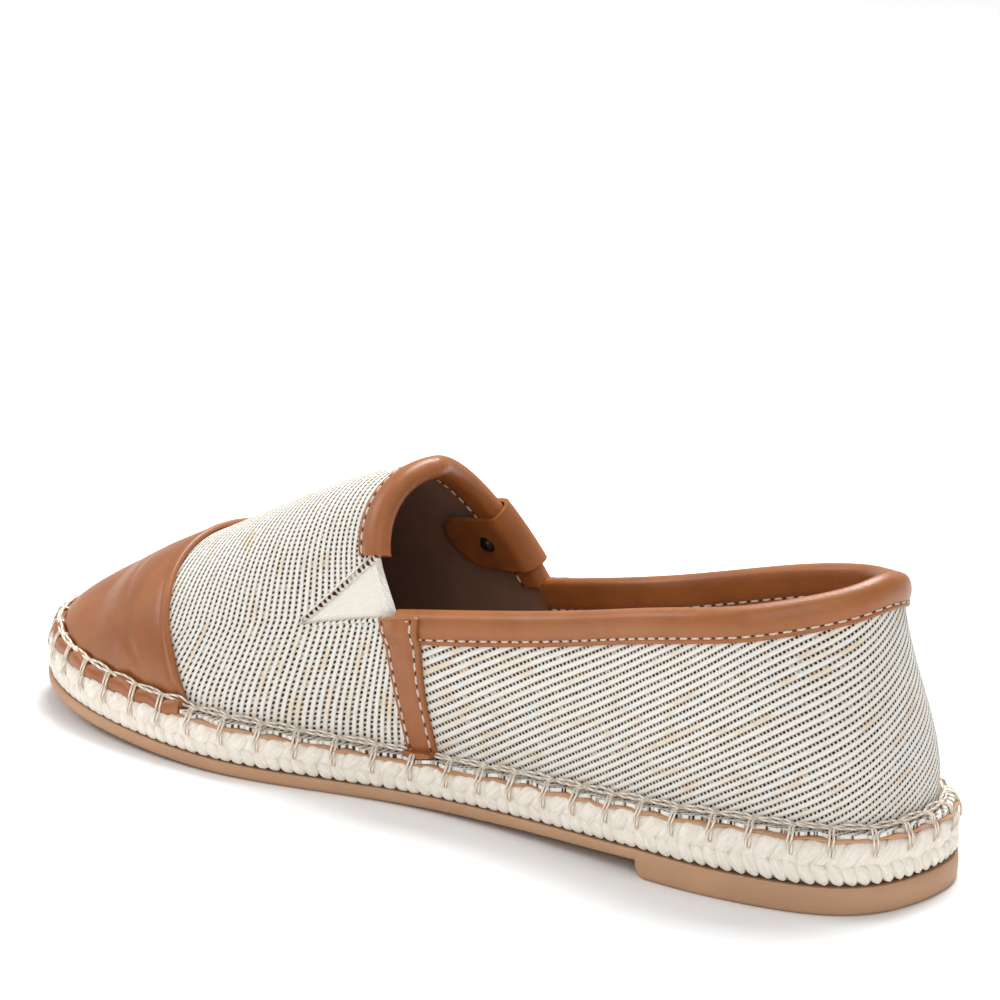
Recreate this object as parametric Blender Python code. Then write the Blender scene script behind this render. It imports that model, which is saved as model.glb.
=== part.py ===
"""A right slip-on espadrille, standing on its sole.

The toe points along +Y, the inner side of the foot lies at -X and Z is up.
The origin is under the middle of the sole, on the floor. Sizes are in metres.
"""

import bmesh
import bpy
import numpy as np

# Sizes of the whole shoe
LENGTH = 0.250
BALL_WIDTH = 0.084
HEEL_HEIGHT = 0.0700
INSTEP_HEIGHT = 0.0742
GAP = 0.0003

# Outsole
HEEL_STEP = 0.0037
WAIST_SLAB = 0.0026
FOREPART_SLAB = 0.0031
TOE_SPRING = 0.0056
SOLE_CORNER = 0.0009
BREAST = 0.220
BREAST_SLOPE = 0.0008
WAIST_END = 0.56
WAIST_EASE = 1.3
SPRING_START = 0.60

# Rope midsole
ROPE_HEIGHT = 0.0096
ROPE_BULGE = 0.0003
STRAND_PITCH = 0.0096
STRAND_RAISE = 0.0006
STRAND_COLUMNS = 3

# Insole
INSOLE_THICKNESS = 0.0025

# Upper
WALL = 0.0015
FLANGE_INSET = 0.0011
FLANGE_REACH = 0.0048
FOOT_FILLET = 0.0014

# Leather laid over the upper
LEATHER = 0.0011
QUARTER_BAND = 0.0062
THROAT_BAND = 0.0060
INNER_BAND = 0.0068
STRIP_WIDTH = 0.0088

# Elastic gores
GORE_THICKNESS = 0.0009
GORE_MARGIN = 0.0040
GORE_TIP_FORWARD = 0.0270
GORE_TIP_DROP = 0.0068
GORE_OPENING = 0.0155
GORE_LINES = 7

# Tab folded over the outer side of the collar
TAB_WIDTH = 0.0165
TAB_REACH = 0.0200
TAB_CENTRE_HEIGHT = 0.0545
TAB_LINES = 9
RIVET_RADIUS = 0.0021
RIVET_DOME = 0.0011
RIVET_FROM_EDGE = 0.0070
RIVET_SIDES = 16

# Sole outline: share of the length, then half widths as shares of the ball width
SOLE_ROWS = (
    # along, inner, outer
    (0.012, 0.173, 0.204),
    (0.050, 0.279, 0.335),
    (0.120, 0.341, 0.390),
    (0.200, 0.359, 0.381),
    (0.320, 0.328, 0.387),
    (0.420, 0.312, 0.407),
    (0.520, 0.338, 0.445),
    (0.620, 0.427, 0.499),
    (0.700, 0.473, 0.527),
    (0.780, 0.465, 0.512),
    (0.860, 0.420, 0.445),
    (0.930, 0.326, 0.318),
    (0.980, 0.178, 0.170),
)

# Rope height: share of the length, share of the rope height at the heel
ROPE_ROWS = (
    # along, height
    (0.00, 1.00),
    (0.12, 1.00),
    (0.22, 0.82),
    (0.35, 0.71),
    (0.47, 0.63),
    (0.62, 0.76),
    (0.80, 0.81),
    (1.00, 0.88),
)

# Collar line: share of the way round from heel to toe, place along the shoe,
# half widths as shares of the ball width, height as a share of the heel height,
# and how far the wall stands out low down and high up, as shares of the ball width
COLLAR_ROWS = (
    # round, along, inner, outer, height, low_out, high_out
    (0.000, 0.063, 0.000, 0.000, 1.000, 0.010, 0.018),
    (0.050, 0.073, 0.126, 0.126, 0.986, 0.011, 0.019),
    (0.100, 0.101, 0.225, 0.225, 0.952, 0.015, 0.022),
    (0.160, 0.144, 0.284, 0.284, 0.902, 0.026, 0.028),
    (0.240, 0.222, 0.311, 0.311, 0.832, 0.030, 0.020),
    (0.330, 0.334, 0.300, 0.297, 0.745, 0.028, 0.012),
)

# Vamp: place of a column's foot and of its top on the ridge along the shoe, ridge offset
# as a share of the ball width and ridge height as a share of the instep height; how far
# the column leans towards the toe low down and high up, as shares of the length; then for
# each side how high and how far out the wall rises and how wide it rounds over, as shares
# of the wall height and of the ball width
VAMP_ROWS = (
    # foot, ridge, across, height, low_on, high_on,
    #     in_rise, in_out, in_round, out_rise, out_out, out_round
    (0.455, 0.541, -0.036, 1.000, 0.060, 0.040, 0.62, 0.130, 0.225, 0.55, 0.000, 0.200),
    (0.520, 0.604, -0.030, 0.922, 0.056, 0.024, 0.60, 0.090, 0.235, 0.56, 0.010, 0.220),
    (0.620, 0.694, -0.018, 0.784, 0.050, 0.006, 0.55, 0.040, 0.250, 0.55, 0.015, 0.245),
    (0.730, 0.796, -0.006, 0.634, 0.044, 0.000, 0.52, 0.010, 0.245, 0.52, 0.015, 0.250),
    (0.820, 0.868, 0.000, 0.514, 0.026, 0.000, 0.52, 0.005, 0.205, 0.52, 0.008, 0.215),
    (0.880, 0.900, 0.000, 0.458, 0.010, 0.000, 0.52, 0.004, 0.170, 0.52, 0.005, 0.175),
    (1.000, 0.900, 0.000, 0.458, 0.000, 0.000, 0.55, 0.004, 0.105, 0.55, 0.004, 0.105),
)
THROAT_FOOT = VAMP_ROWS[0][0]
COLLAR_SHARE = 0.315
CAP_FOOT = 0.728

# How finely the surfaces are divided
QUARTER_COLUMNS = 14
STRIP_COLUMNS = 2
BAND_COLUMNS = 3
VAMP_COLUMNS = 7
CAP_COLUMNS = 13
WALL_ROWS = 7
TOP_ROWS = 7
SOLE_COLUMNS = 46
OUTLINE_STEPS = 900
COLUMN_STEPS = 60

INNER, OUTER = -1, 1
UP = np.array((0.0, 0.0, 1.0))

LEATHER_COLOUR = (0.37, 0.15, 0.065)
TEXTILE_COLOUR = (0.72, 0.68, 0.60)
ROPE_COLOUR = (0.80, 0.74, 0.64)
RUBBER_COLOUR = (0.43, 0.23, 0.13)
ELASTIC_COLOUR = (0.80, 0.76, 0.66)
LINING_COLOUR = (0.55, 0.42, 0.30)
RIVET_COLOUR = (0.10, 0.08, 0.07)


def through(knots, values, wrap=False):
    """Smooth curve through a row of values for each knot; wrap closes it."""
    knots = np.asarray(knots, float)
    values = np.asarray(values, float).reshape(len(knots), -1)
    count = len(knots)
    gaps = np.diff(knots)
    rises = np.diff(values, axis=0) / gaps[:, None]
    matrix = np.zeros((count, count))
    side = np.zeros_like(values)
    for row in range(1, count - 1):
        before, after = gaps[row - 1], gaps[row]
        matrix[row, row - 1:row + 2] = after, 2 * (before + after), before
        side[row] = 3 * (after * rises[row - 1] + before * rises[row])
    if wrap:
        matrix[0, 0] = 2 * (gaps[-1] + gaps[0])
        matrix[0, 1] = gaps[-1]
        matrix[0, -2] = gaps[0]
        side[0] = 3 * (gaps[0] * rises[-1] + gaps[-1] * rises[0])
        matrix[-1, 0] = 1
        matrix[-1, -1] = -1
    else:
        matrix[0, :2] = 2, 1
        side[0] = 3 * rises[0]
        matrix[-1, -2:] = 1, 2
        side[-1] = 3 * rises[-1]
    slopes = np.linalg.solve(matrix, side)

    def at(where):
        where = np.atleast_1d(np.asarray(where, float))
        cell = np.clip(np.searchsorted(knots, where, side="right") - 1, 0, count - 2)
        wide = gaps[cell][:, None]
        part = (where - knots[cell])[:, None] / wide
        rest = 1 - part
        return (values[cell] * (1 + 2 * part) * rest ** 2
                + values[cell + 1] * (1 + 2 * rest) * part ** 2
                + slopes[cell] * wide * part * rest ** 2
                - slopes[cell + 1] * wide * rest * part ** 2)

    return at


def unit(vectors):
    """Vectors brought to length one."""
    vectors = np.asarray(vectors, float)
    return vectors / np.linalg.norm(vectors, axis=-1, keepdims=True)


def make_outline():
    """Sole outline as dense points and inward normals for each side, by share of its run."""
    rows = [(0.0, 0.0)]
    rows += [(-inner * BALL_WIDTH, along * LENGTH) for along, inner, outer in SOLE_ROWS]
    rows += [(0.0, LENGTH)]
    rows += [(outer * BALL_WIDTH, along * LENGTH) for along, inner, outer in reversed(SOLE_ROWS)]
    rows += [(0.0, 0.0)]
    rows = np.array(rows)
    steps = np.linalg.norm(np.diff(rows, axis=0), axis=1) ** 0.5
    knots = np.concatenate(([0.0], np.cumsum(steps)))
    curve = through(knots, rows, wrap=True)
    toe = knots[len(SOLE_ROWS) + 1]
    sides = {}
    for side, ends in ((INNER, (0.0, toe)), (OUTER, (knots[-1], toe))):
        where = np.linspace(*ends, OUTLINE_STEPS)
        points = curve(where)
        ahead = unit(np.gradient(points, axis=0))
        inward = np.stack((-side * ahead[:, 1], side * ahead[:, 0]), axis=1)
        run = np.concatenate(([0.0], np.cumsum(np.linalg.norm(np.diff(points, axis=0), axis=1))))
        sides[side] = {"points": points, "inward": inward, "share": run / run[-1], "run": run[-1]}
    for end in (0, -1):
        middle = unit(sides[INNER]["inward"][end] + sides[OUTER]["inward"][end])
        sides[INNER]["inward"][end] = middle
        sides[OUTER]["inward"][end] = middle
    return sides


OUTLINE = make_outline()
CORNERS = np.concatenate([OUTLINE[side]["points"] for side in (INNER, OUTER)])
CENTRE = np.append((CORNERS.min(axis=0) + CORNERS.max(axis=0)) / 2, 0.0)


def read_outline(side, shares, field):
    """Values of one field of the outline at shares of its run from heel to toe."""
    line = OUTLINE[side]
    return np.stack([np.interp(shares, line["share"], line[field][:, axis]) for axis in (0, 1)], axis=-1)


def outline(side, shares, inset=0.0):
    """Plan points of one side of the sole, moved inwards by inset."""
    return read_outline(side, shares, "points") + read_outline(side, shares, "inward") * inset


def share_of(side, along):
    """Share of a side's run where the sole outline reaches a place along the shoe."""
    line = OUTLINE[side]
    return float(np.interp(along * LENGTH, line["points"][:, 1], line["share"]))


def table(rows, column):
    """Smooth curve through one column of a table, over its first column."""
    rows = np.array(rows)
    return through(rows[:, 0], rows[:, column])


def lift(along):
    """Height of the slab's underside over the floor."""
    waist = np.clip((WAIST_END - along) / (WAIST_END - BREAST), 0, 1)
    toe = np.clip((along - SPRING_START) / (1 - SPRING_START), 0, 1)
    return HEEL_STEP * waist ** WAIST_EASE + TOE_SPRING * toe ** 2


def sole_top(plan):
    """Height of the outsole's upper face at plan points."""
    along = plan[..., 1] / LENGTH
    slab = np.interp(along, (BREAST, WAIST_END), (WAIST_SLAB, FOREPART_SLAB))
    return lift(along) + slab


def sole_bottom(plan):
    """Height of the outsole's underside, with the step in front of the heel."""
    along = plan[..., 1] / LENGTH
    step = np.clip((plan[..., 1] - BREAST * LENGTH) / BREAST_SLOPE + 0.5, 0, 1)
    return lift(along) * step


def rope_top(plan):
    """Height of the rope's upper face at plan points."""
    along = np.clip(plan[..., 1] / LENGTH, 0, 1)
    height = table(ROPE_ROWS, 1)(np.ravel(along)).reshape(np.shape(along))
    return sole_top(plan) + height * ROPE_HEIGHT


def flange_top(plan):
    """Height of the upper face of the flange that lies on the rope."""
    return rope_top(plan) + GAP + WALL


def with_height(plan, height):
    """Plan points raised to a height."""
    height = np.broadcast_to(height, np.shape(plan)[:-1])
    return np.concatenate((plan, height[..., None]), axis=-1)


def bezier(controls, part):
    """Points on a cubic through four control points at parts of its run."""
    part = np.asarray(part, float)[:, None]
    rest = 1 - part
    first, second, third, last = controls
    return (first * rest ** 3 + 3 * second * rest ** 2 * part
            + 3 * third * rest * part ** 2 + last * part ** 3)


def split_bezier(controls, part):
    """Control points of the first part of a cubic."""
    points = [np.asarray(point, float) for point in controls]
    kept = [points[0]]
    while len(points) > 1:
        points = [low * (1 - part) + high * part for low, high in zip(points, points[1:])]
        kept.append(points[0])
    return kept


def foot_point(side, share):
    """Where a wall column leaves its fillet over the flange, and its outward direction."""
    inset = FLANGE_INSET + FLANGE_REACH
    plan = outline(side, share, inset)
    inward = read_outline(side, share, "inward")
    foot = with_height(plan, flange_top(plan) + FOOT_FILLET)
    return foot, np.append(-inward, 0.0)


def mean_along(share):
    """Place along the shoe of both sides' outline points at one share of their run."""
    return float(np.mean([outline(side, share)[1] for side in (INNER, OUTER)])) / LENGTH


def ridge_point(share):
    """Point on the middle line of the vamp and the direction of that line there."""
    along = mean_along(share)
    rows = [table(VAMP_ROWS, column) for column in (1, 2, 3)]

    def at(place):
        ridge, across, height = (float(row(place)[0, 0]) for row in rows)
        pole = VAMP_ROWS[-1][1]
        return np.array((across * BALL_WIDTH, min(ridge, pole) * LENGTH, height * INSTEP_HEIGHT))

    fan = VAMP_ROWS[-2][0]
    if along >= fan:
        point = at(fan)
    else:
        point = at(along)
    here = min(along, fan - 0.03)
    ahead = unit(at(here + 0.02) - at(here))
    return point, ahead


def vamp_column(side, share):
    """Control points of a wall column from the foot to the middle line of the vamp."""
    along = mean_along(share)
    foot, outward = foot_point(side, share)
    top, ahead = ridge_point(share)
    first = 6 if side == INNER else 9
    rise, out, around = (float(table(VAMP_ROWS, first + step)(along)[0, 0]) for step in range(3))
    fan = max(0.0, np.arctan2(foot[1] - top[1], abs(foot[0] - top[0])))
    across = np.array((side, 0.0, 0.0))
    leave = across * np.cos(fan) + ahead * np.sin(fan)
    low = foot + UP * rise * (top[2] - foot[2]) + outward * out * BALL_WIDTH
    low_on, high_on = (float(table(VAMP_ROWS, step)(along)[0, 0]) * LENGTH for step in (4, 5))
    low[1] += low_on * np.cos(fan)
    high = top + leave * around * BALL_WIDTH + ahead * high_on * np.cos(fan)
    return [foot, low, high, top]


def throat_share(side):
    """Share of a side's run where the collar ends and the throat begins."""
    return share_of(side, THROAT_FOOT)


THROAT = float(np.mean([throat_share(side) for side in (INNER, OUTER)]))


def make_collar(side):
    """Curves over the share of a side's run for the three loose controls of a wall column."""
    rounds, lows, highs, tops = [], [], [], []
    for row in COLLAR_ROWS:
        around, along, inner, outer, height, low_out, high_out = row
        wide = inner if side == INNER else outer
        foot, outward = foot_point(side, around)
        top = np.array((side * wide * BALL_WIDTH, along * LENGTH, height * HEEL_HEIGHT))
        rise = (top[2] - foot[2]) / 3
        rounds.append(around)
        lows.append((low_out * BALL_WIDTH, 0.0, rise))
        highs.append((high_out * BALL_WIDTH, 0.0, -rise))
        tops.append(top)
    foot, outward = foot_point(side, THROAT)
    along_side = np.cross(UP, outward) * side
    kept = split_bezier(vamp_column(side, THROAT), COLLAR_SHARE)
    rounds.append(THROAT)
    for found, step in ((lows, kept[1] - kept[0]), (highs, kept[2] - kept[3])):
        found.append((step @ outward, step @ along_side, step[2]))
    tops.append(kept[3])
    mirror = np.array((-1.0, 1.0, 1.0))
    back = [-value for value in reversed(rounds[1:])]
    tops_round = [top * mirror for top in reversed(tops[1:])] + tops
    return through(back + rounds, tops_round), through(rounds, lows), through(rounds, highs)


COLLAR = {side: make_collar(side) for side in (INNER, OUTER)}


def collar_column(side, share):
    """Control points of a wall column from the foot to the collar line."""
    tops, lows, highs = (curve(share)[0] for curve in COLLAR[side])
    foot, outward = foot_point(side, share)
    along_side = np.cross(UP, outward) * side
    low = foot + outward * lows[0] + along_side * lows[1] + UP * lows[2]
    high = tops + outward * highs[0] + along_side * highs[1] + UP * highs[2]
    return [foot, low, high, tops]


def column(side, share, parts):
    """Points up a wall column; 0 is the foot, 1 the collar line and 2 the middle line."""
    parts = np.asarray(parts, float)
    if share < THROAT:
        return bezier(collar_column(side, share), parts)
    where = np.where(parts <= 1, parts * COLLAR_SHARE, COLLAR_SHARE + (parts - 1) * (1 - COLLAR_SHARE))
    return bezier(vamp_column(side, share), where)


def flange_rows(side, share):
    """Points of the flange from its edge in to the wall's foot, on the outer skin."""
    wall = FLANGE_INSET + FLANGE_REACH
    ease = FOOT_FILLET * 0.3
    insets = (FLANGE_INSET, (FLANGE_INSET + wall - FOOT_FILLET) / 2, wall - FOOT_FILLET, wall - ease)
    heights = (0.0, 0.0, 0.0, ease)
    rows = []
    for inset, height in zip(insets, heights):
        plan = outline(side, share, inset)
        rows.append(with_height(plan, flange_top(plan) + height))
    return np.array(rows)


FLANGE_ROWS = 4


def spread(first, last, count):
    """Even values from first to last, without the last."""
    return list(np.linspace(first, last, count, endpoint=False))


STRIP_END = THROAT + STRIP_WIDTH / OUTLINE[INNER]["run"]
BAND_END = STRIP_END + THROAT_BAND / OUTLINE[INNER]["run"]
CAP_START = share_of(INNER, CAP_FOOT)
COLUMNS = (spread(0.0, THROAT, QUARTER_COLUMNS) + spread(THROAT, STRIP_END, STRIP_COLUMNS)
           + spread(STRIP_END, BAND_END, BAND_COLUMNS) + spread(BAND_END, CAP_START, VAMP_COLUMNS)
           + spread(CAP_START, 1.0, CAP_COLUMNS) + [1.0])
AT_THROAT = QUARTER_COLUMNS
AT_STRIP = AT_THROAT + STRIP_COLUMNS
AT_BAND = AT_STRIP + BAND_COLUMNS
AT_CAP = AT_BAND + VAMP_COLUMNS
AT_TOE = len(COLUMNS) - 1
WALL_PARTS = list(np.linspace(0, 1, WALL_ROWS + 1))
TOP_PARTS = list(np.linspace(1, 2, TOP_ROWS + 1))[1:]
AT_COLLAR = FLANGE_ROWS + WALL_ROWS
AT_RIDGE = AT_COLLAR + TOP_ROWS


def make_skin():
    """Points and outward normals of the upper's outer skin, by side, column and row."""
    skin = {}
    for side in (INNER, OUTER):
        grid = []
        for share in COLUMNS:
            wall = column(side, share, WALL_PARTS + TOP_PARTS if share >= THROAT else WALL_PARTS)
            grid.append(np.concatenate((flange_rows(side, share), wall)))
        skin[side] = grid
    return skin


SKIN = make_skin()
AT_POLE = next(at for at in range(AT_THROAT, AT_TOE + 1) if mean_along(COLUMNS[at]) >= VAMP_ROWS[-2][0])


def skin_normal(side, at, row):
    """Outward normal of the skin at one column and row."""
    grid = SKIN[side]
    last = len(grid[at]) - 1
    if row == AT_RIDGE:
        ahead = ridge_point(COLUMNS[at])[1]
        return unit(np.cross((1.0, 0.0, 0.0), ahead))
    up = grid[at][min(row + 1, last)] - grid[at][max(row - 1, 0)]
    if at in (0, AT_TOE):
        near = 1 if at == 0 else AT_TOE - 1
        across = SKIN[OUTER][near][row] - SKIN[INNER][near][row]
        if at == AT_TOE:
            across = -across
        return unit(np.cross(across, up))
    before = at - 1
    after = at + 1
    if row > AT_COLLAR and at == AT_THROAT:
        before = at
    across = grid[after][row] - grid[before][row]
    return unit(np.cross(across, up) * side)


def make_normals():
    """Outward normals for the whole skin."""
    return {side: [np.array([skin_normal(side, at, row) for row in range(len(SKIN[side][at]))])
                   for at in range(len(COLUMNS))] for side in (INNER, OUTER)}


NORMALS = make_normals()


def skin_point(side, at, row, out=0.0):
    """Point of the skin at one column and row, moved out along the normal."""
    return SKIN[side][at][row] + NORMALS[side][at][row] * out


def material(name, colour, roughness, metallic=0.0):
    """Principled material of one colour."""
    made = bpy.data.materials.new(name)
    made.use_nodes = True
    shader = made.node_tree.nodes["Principled BSDF"]
    shader.inputs["Base Color"].default_value = (*colour, 1.0)
    shader.inputs["Roughness"].default_value = roughness
    shader.inputs["Metallic"].default_value = metallic
    return made


def add_solid(name, points, faces, finish, smooth=40):
    """Object from points and faces in the shoe's own frame, turned to face outwards."""
    mesh = bpy.data.meshes.new(name)
    built = bmesh.new()
    corners = [built.verts.new(np.asarray(point) - CENTRE) for point in points]
    for face in faces:
        ring = [corners[index] for index in face]
        kept = [corner for index, corner in enumerate(ring) if corner != ring[index - 1]]
        if len(kept) > 2:
            built.faces.new(kept)
    bmesh.ops.recalc_face_normals(built, faces=built.faces)
    bmesh.ops.triangulate(built, faces=[face for face in built.faces if len(face.verts) > 3])
    built.to_mesh(mesh)
    built.free()
    mesh.materials.append(finish)
    mesh.shade_smooth()
    mesh.set_sharp_from_angle(angle=np.radians(smooth))
    made = bpy.data.objects.new(name, mesh)
    bpy.context.scene.collection.objects.link(made)
    return made


class Solid:
    """Gathers points and faces, joining points that carry the same key."""

    def __init__(self):
        self.points = []
        self.faces = []
        self.index = {}

    def put(self, key, point):
        if key not in self.index:
            self.index[key] = len(self.points)
            self.points.append(point)
        return self.index[key]

    def face(self, *corners):
        self.faces.append(corners)


def thick_patch(name, outside, inside, finish, wrap=False):
    """Closed solid between two equal grids of points; wrap joins the last line to the first."""
    solid = Solid()
    lines, depth = len(outside), len(outside[0])
    count = lines if wrap else lines - 1
    for line in range(lines):
        for row in range(depth):
            solid.put(("out", line, row), outside[line][row])
            solid.put(("in", line, row), inside[line][row])

    def quad(*keys):
        solid.face(*(solid.index[key] for key in keys))

    for line in range(count):
        after = (line + 1) % lines
        for row in range(depth - 1):
            for skin in ("out", "in"):
                quad((skin, line, row), (skin, after, row), (skin, after, row + 1), (skin, line, row + 1))
        for row in (0, depth - 1):
            quad(("out", line, row), ("out", after, row), ("in", after, row), ("in", line, row))
    if not wrap:
        for line in (0, lines - 1):
            for row in range(depth - 1):
                quad(("out", line, row), ("out", line, row + 1), ("in", line, row + 1), ("in", line, row))
    return add_solid(name, solid.points, solid.faces, finish)


def skin_shell(name, first, low, high, out_from, out_to, finish):
    """Closed solid over the skin from a first column to the toe on both sides."""
    solid = Solid()

    def corner(side, at, row, skin):
        out = out_from if skin == "in" else out_to
        middle = at in (0, AT_TOE) or row == AT_RIDGE
        key_at = min(at, AT_POLE) if row == AT_RIDGE else at
        key = (0 if middle else side, key_at, row, skin)
        return solid.put(key, skin_point(INNER if middle else side, key_at, row, out))

    def quad(side, at, row, skin):
        solid.face(corner(side, at, row, skin), corner(side, at + 1, row, skin),
                   corner(side, at + 1, row + 1, skin), corner(side, at, row + 1, skin))

    def top_row(at):
        return high if at >= AT_THROAT else AT_COLLAR

    for side in (INNER, OUTER):
        for at in range(first, AT_TOE):
            for row in range(low, top_row(at)):
                for skin in ("out", "in"):
                    quad(side, at, row, skin)
            edges = [low]
            if top_row(at) < AT_RIDGE:
                edges.append(top_row(at))
            for row in edges:
                solid.face(corner(side, at, row, "out"), corner(side, at + 1, row, "out"),
                           corner(side, at + 1, row, "in"), corner(side, at, row, "in"))
        ends = [(AT_THROAT, AT_COLLAR)] if first == 0 else [(first, low)]
        for at, start in ends:
            for row in range(start, top_row(at)):
                solid.face(corner(side, at, row, "out"), corner(side, at, row + 1, "out"),
                           corner(side, at, row + 1, "in"), corner(side, at, row, "in"))
    return add_solid(name, solid.points, solid.faces, finish)


def slice_solid(name, shares, levels, finish):
    """Flat-lying solid from rings round the sole, with faces across at its top and bottom."""
    solid = Solid()
    last = len(shares[INNER]) - 1
    rings = len(levels)

    def corner(side, at, ring):
        middle = at in (0, last)
        key = (0 if middle else side, at, ring)
        return solid.put(key, levels[ring](INNER if middle else side, shares[INNER if middle else side][at], at))

    for side in (INNER, OUTER):
        for at in range(last):
            for ring in range(rings - 1):
                solid.face(corner(side, at, ring), corner(side, at + 1, ring),
                           corner(side, at + 1, ring + 1), corner(side, at, ring + 1))
    for at in range(last):
        for ring in (0, rings - 1):
            solid.face(corner(INNER, at, ring), corner(INNER, at + 1, ring),
                       corner(OUTER, at + 1, ring), corner(OUTER, at, ring))
    return add_solid(name, solid.points, solid.faces, finish)


def build_outsole(finish):
    """Moulded sole with heel block, step, arch and toe spring."""
    slope = BREAST_SLOPE / 2 / LENGTH
    shares = {}
    for side in (INNER, OUTER):
        before, after = share_of(side, BREAST - slope), share_of(side, BREAST + slope)
        heel = int(SOLE_COLUMNS * before) + 2
        shares[side] = (spread(0, before, heel) + [before]
                        + list(np.linspace(after, 1, SOLE_COLUMNS - heel)))
    count = min(len(shares[side]) for side in (INNER, OUTER))
    shares = {side: values[:count - 1] + [1.0] for side, values in shares.items()}

    def level(inset, rise, top):
        def at(side, share, index):
            plan = outline(side, share, inset)
            height = sole_top(plan) if top else sole_bottom(plan)
            return with_height(plan, height + rise)
        return at

    levels = [level(SOLE_CORNER, 0.0, False), level(0.0, SOLE_CORNER, False), level(0.0, 0.0, True)]
    return slice_solid("outsole", shares, levels, finish)


def build_rope(finish):
    """Rope midsole with the strands of its braid raised round the side."""
    run = max(OUTLINE[side]["run"] for side in (INNER, OUTER))
    strands = round(run / STRAND_PITCH)
    count = strands * STRAND_COLUMNS
    even = list(np.linspace(0, 1, count + 1))
    shares = {side: even for side in (INNER, OUTER)}
    phases = (0.0, 0.0, 0.35, 0.70, 0.0)
    raised = (0.0, 1.0, 1.0, 1.0, 0.0)
    heights = (0.0, 0.18, 0.50, 0.84, 1.0)
    bulges = (0.0, 0.75, 0.70, 1.00, -0.60)

    def level(ring):
        def at(side, share, index):
            turn = 2 * np.pi * (index / STRAND_COLUMNS + phases[ring] * side)
            if index in (0, count):
                turn = 0.0
            wave = STRAND_RAISE * raised[ring] * 0.5 * np.cos(turn)
            plan = outline(side, share, -ROPE_BULGE * bulges[ring] - wave)
            low, high = sole_top(plan) + GAP, rope_top(plan)
            return with_height(plan, low + (high - low) * heights[ring])
        return at

    return slice_solid("rope_midsole", shares, [level(ring) for ring in range(len(heights))], finish)


def build_insole(finish):
    """Footbed inside the wall, lying on the rope."""
    shares = {side: list(np.linspace(0, 1, SOLE_COLUMNS)) for side in (INNER, OUTER)}
    inset = FLANGE_INSET + FLANGE_REACH + WALL + GAP

    def level(extra, rise):
        def at(side, share, index):
            plan = outline(side, share, inset + extra)
            return with_height(plan, rope_top(plan) + GAP + rise)
        return at

    levels = [level(FOOT_FILLET / 2, 0.0), level(FOOT_FILLET / 2, INSOLE_THICKNESS)]
    return slice_solid("insole", shares, levels, finish)


def even_run(points, parts, reach, steps):
    """Points and parts at even distances along a dense line, up to a reach."""
    run = np.concatenate(([0.0], np.cumsum(np.linalg.norm(np.diff(points, axis=0), axis=1))))
    where = np.linspace(0, reach, steps)
    found = np.stack([np.interp(where, run, points[:, axis]) for axis in range(3)], axis=1)
    return found, np.interp(where, run, parts)


def surface_normal(side, share, part):
    """Outward normal of the upper's outer surface at a share of the run and a part of the height."""
    step = 0.004
    shares = (max(share - step, 0.0), min(share + step, 1.0))
    if share >= THROAT:
        shares = (max(shares[0], THROAT), shares[1])
    if part >= 2 - step:
        return unit(np.cross((1.0, 0.0, 0.0), ridge_point(share)[1]))
    across = column(side, shares[1], [part])[0] - column(side, shares[0], [part])[0]
    parts = (max(part - step, 0.0), part + step)
    low, high = column(side, share, parts)
    if share == 0.0:
        across = np.array((-1.0, 0.0, 0.0)) * -side
    return unit(np.cross(across, high - low) * side)


def edge_down(side, share, reach, steps):
    """Surface points and normals below the collar line at even distances down a column."""
    parts = np.linspace(1, 0, COLUMN_STEPS)
    found, where = even_run(column(side, share, parts), parts, reach, steps)
    return found, np.array([surface_normal(side, share, part) for part in where])


def edge_forward(side, part, reach, steps):
    """Surface points and normals in front of the throat edge at even distances."""
    shares = np.linspace(THROAT, THROAT + 1.6 * reach / OUTLINE[side]["run"] + 0.02, COLUMN_STEPS // 2)
    line = np.array([column(side, share, [part])[0] for share in shares])
    found, where = even_run(line, shares, reach, steps)
    return found, np.array([surface_normal(side, share, part) for share in where])


def folded(outer, inner, outer_clear, inner_clear, stand_off, roundness):
    """Two lines of points that wrap leather over a wall's edge, outside to inside."""
    thickness = LEATHER
    found, normals = outer
    away = unit(found[0] - found[1])
    normal = normals[0]
    far = [point + across * (outer_clear + thickness) for point, across in zip(found[::-1], normals[::-1])]
    near = [point + across * outer_clear for point, across in zip(found[::-1], normals[::-1])]
    half = (WALL + outer_clear + inner_clear) / 2
    middle = found[0] + normal * (outer_clear - half)
    for turn in FOLD_TURNS:
        over, out = np.cos(np.pi * turn), np.sin(np.pi * turn)
        near.append(middle + normal * half * over + away * stand_off)
        far.append(middle + normal * (half + thickness) * over
                   + away * (stand_off + (thickness + roundness * half) * out))
    for point, across in zip(*inner):
        far.append(point - across * (WALL + inner_clear + thickness))
        near.append(point - across * (WALL + inner_clear))
    return far, near


FOLD_TURNS = (0.25, 0.5, 0.75)
INNER_CLEAR = GAP + GORE_THICKNESS + GAP
BINDING_ROUND = 0.45
TAB_ROUND = 0.12
THROAT_FOLD = GAP + LEATHER + BINDING_ROUND * (WALL + GAP + INNER_CLEAR) / 2


def build_quarter_binding(finish):
    """Leather folded over the collar line round the heel, from strip to strip."""
    steps = 4
    far, near = [], []
    shares = COLUMNS[:AT_THROAT] + [THROAT - 2 * GAP / OUTLINE[INNER]["run"]]
    order = [(INNER, share) for share in reversed(shares[1:])] + [(OUTER, share) for share in shares]
    for side, share in order:
        outer = edge_down(side, share, QUARTER_BAND, steps)
        inner = edge_down(side, share, INNER_BAND, steps - 1)
        line_far, line_near = folded(outer, inner, GAP, GAP, GAP, BINDING_ROUND)
        far.append(line_far)
        near.append(line_near)
    return thick_patch("quarter_binding", far, near, finish)


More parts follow.
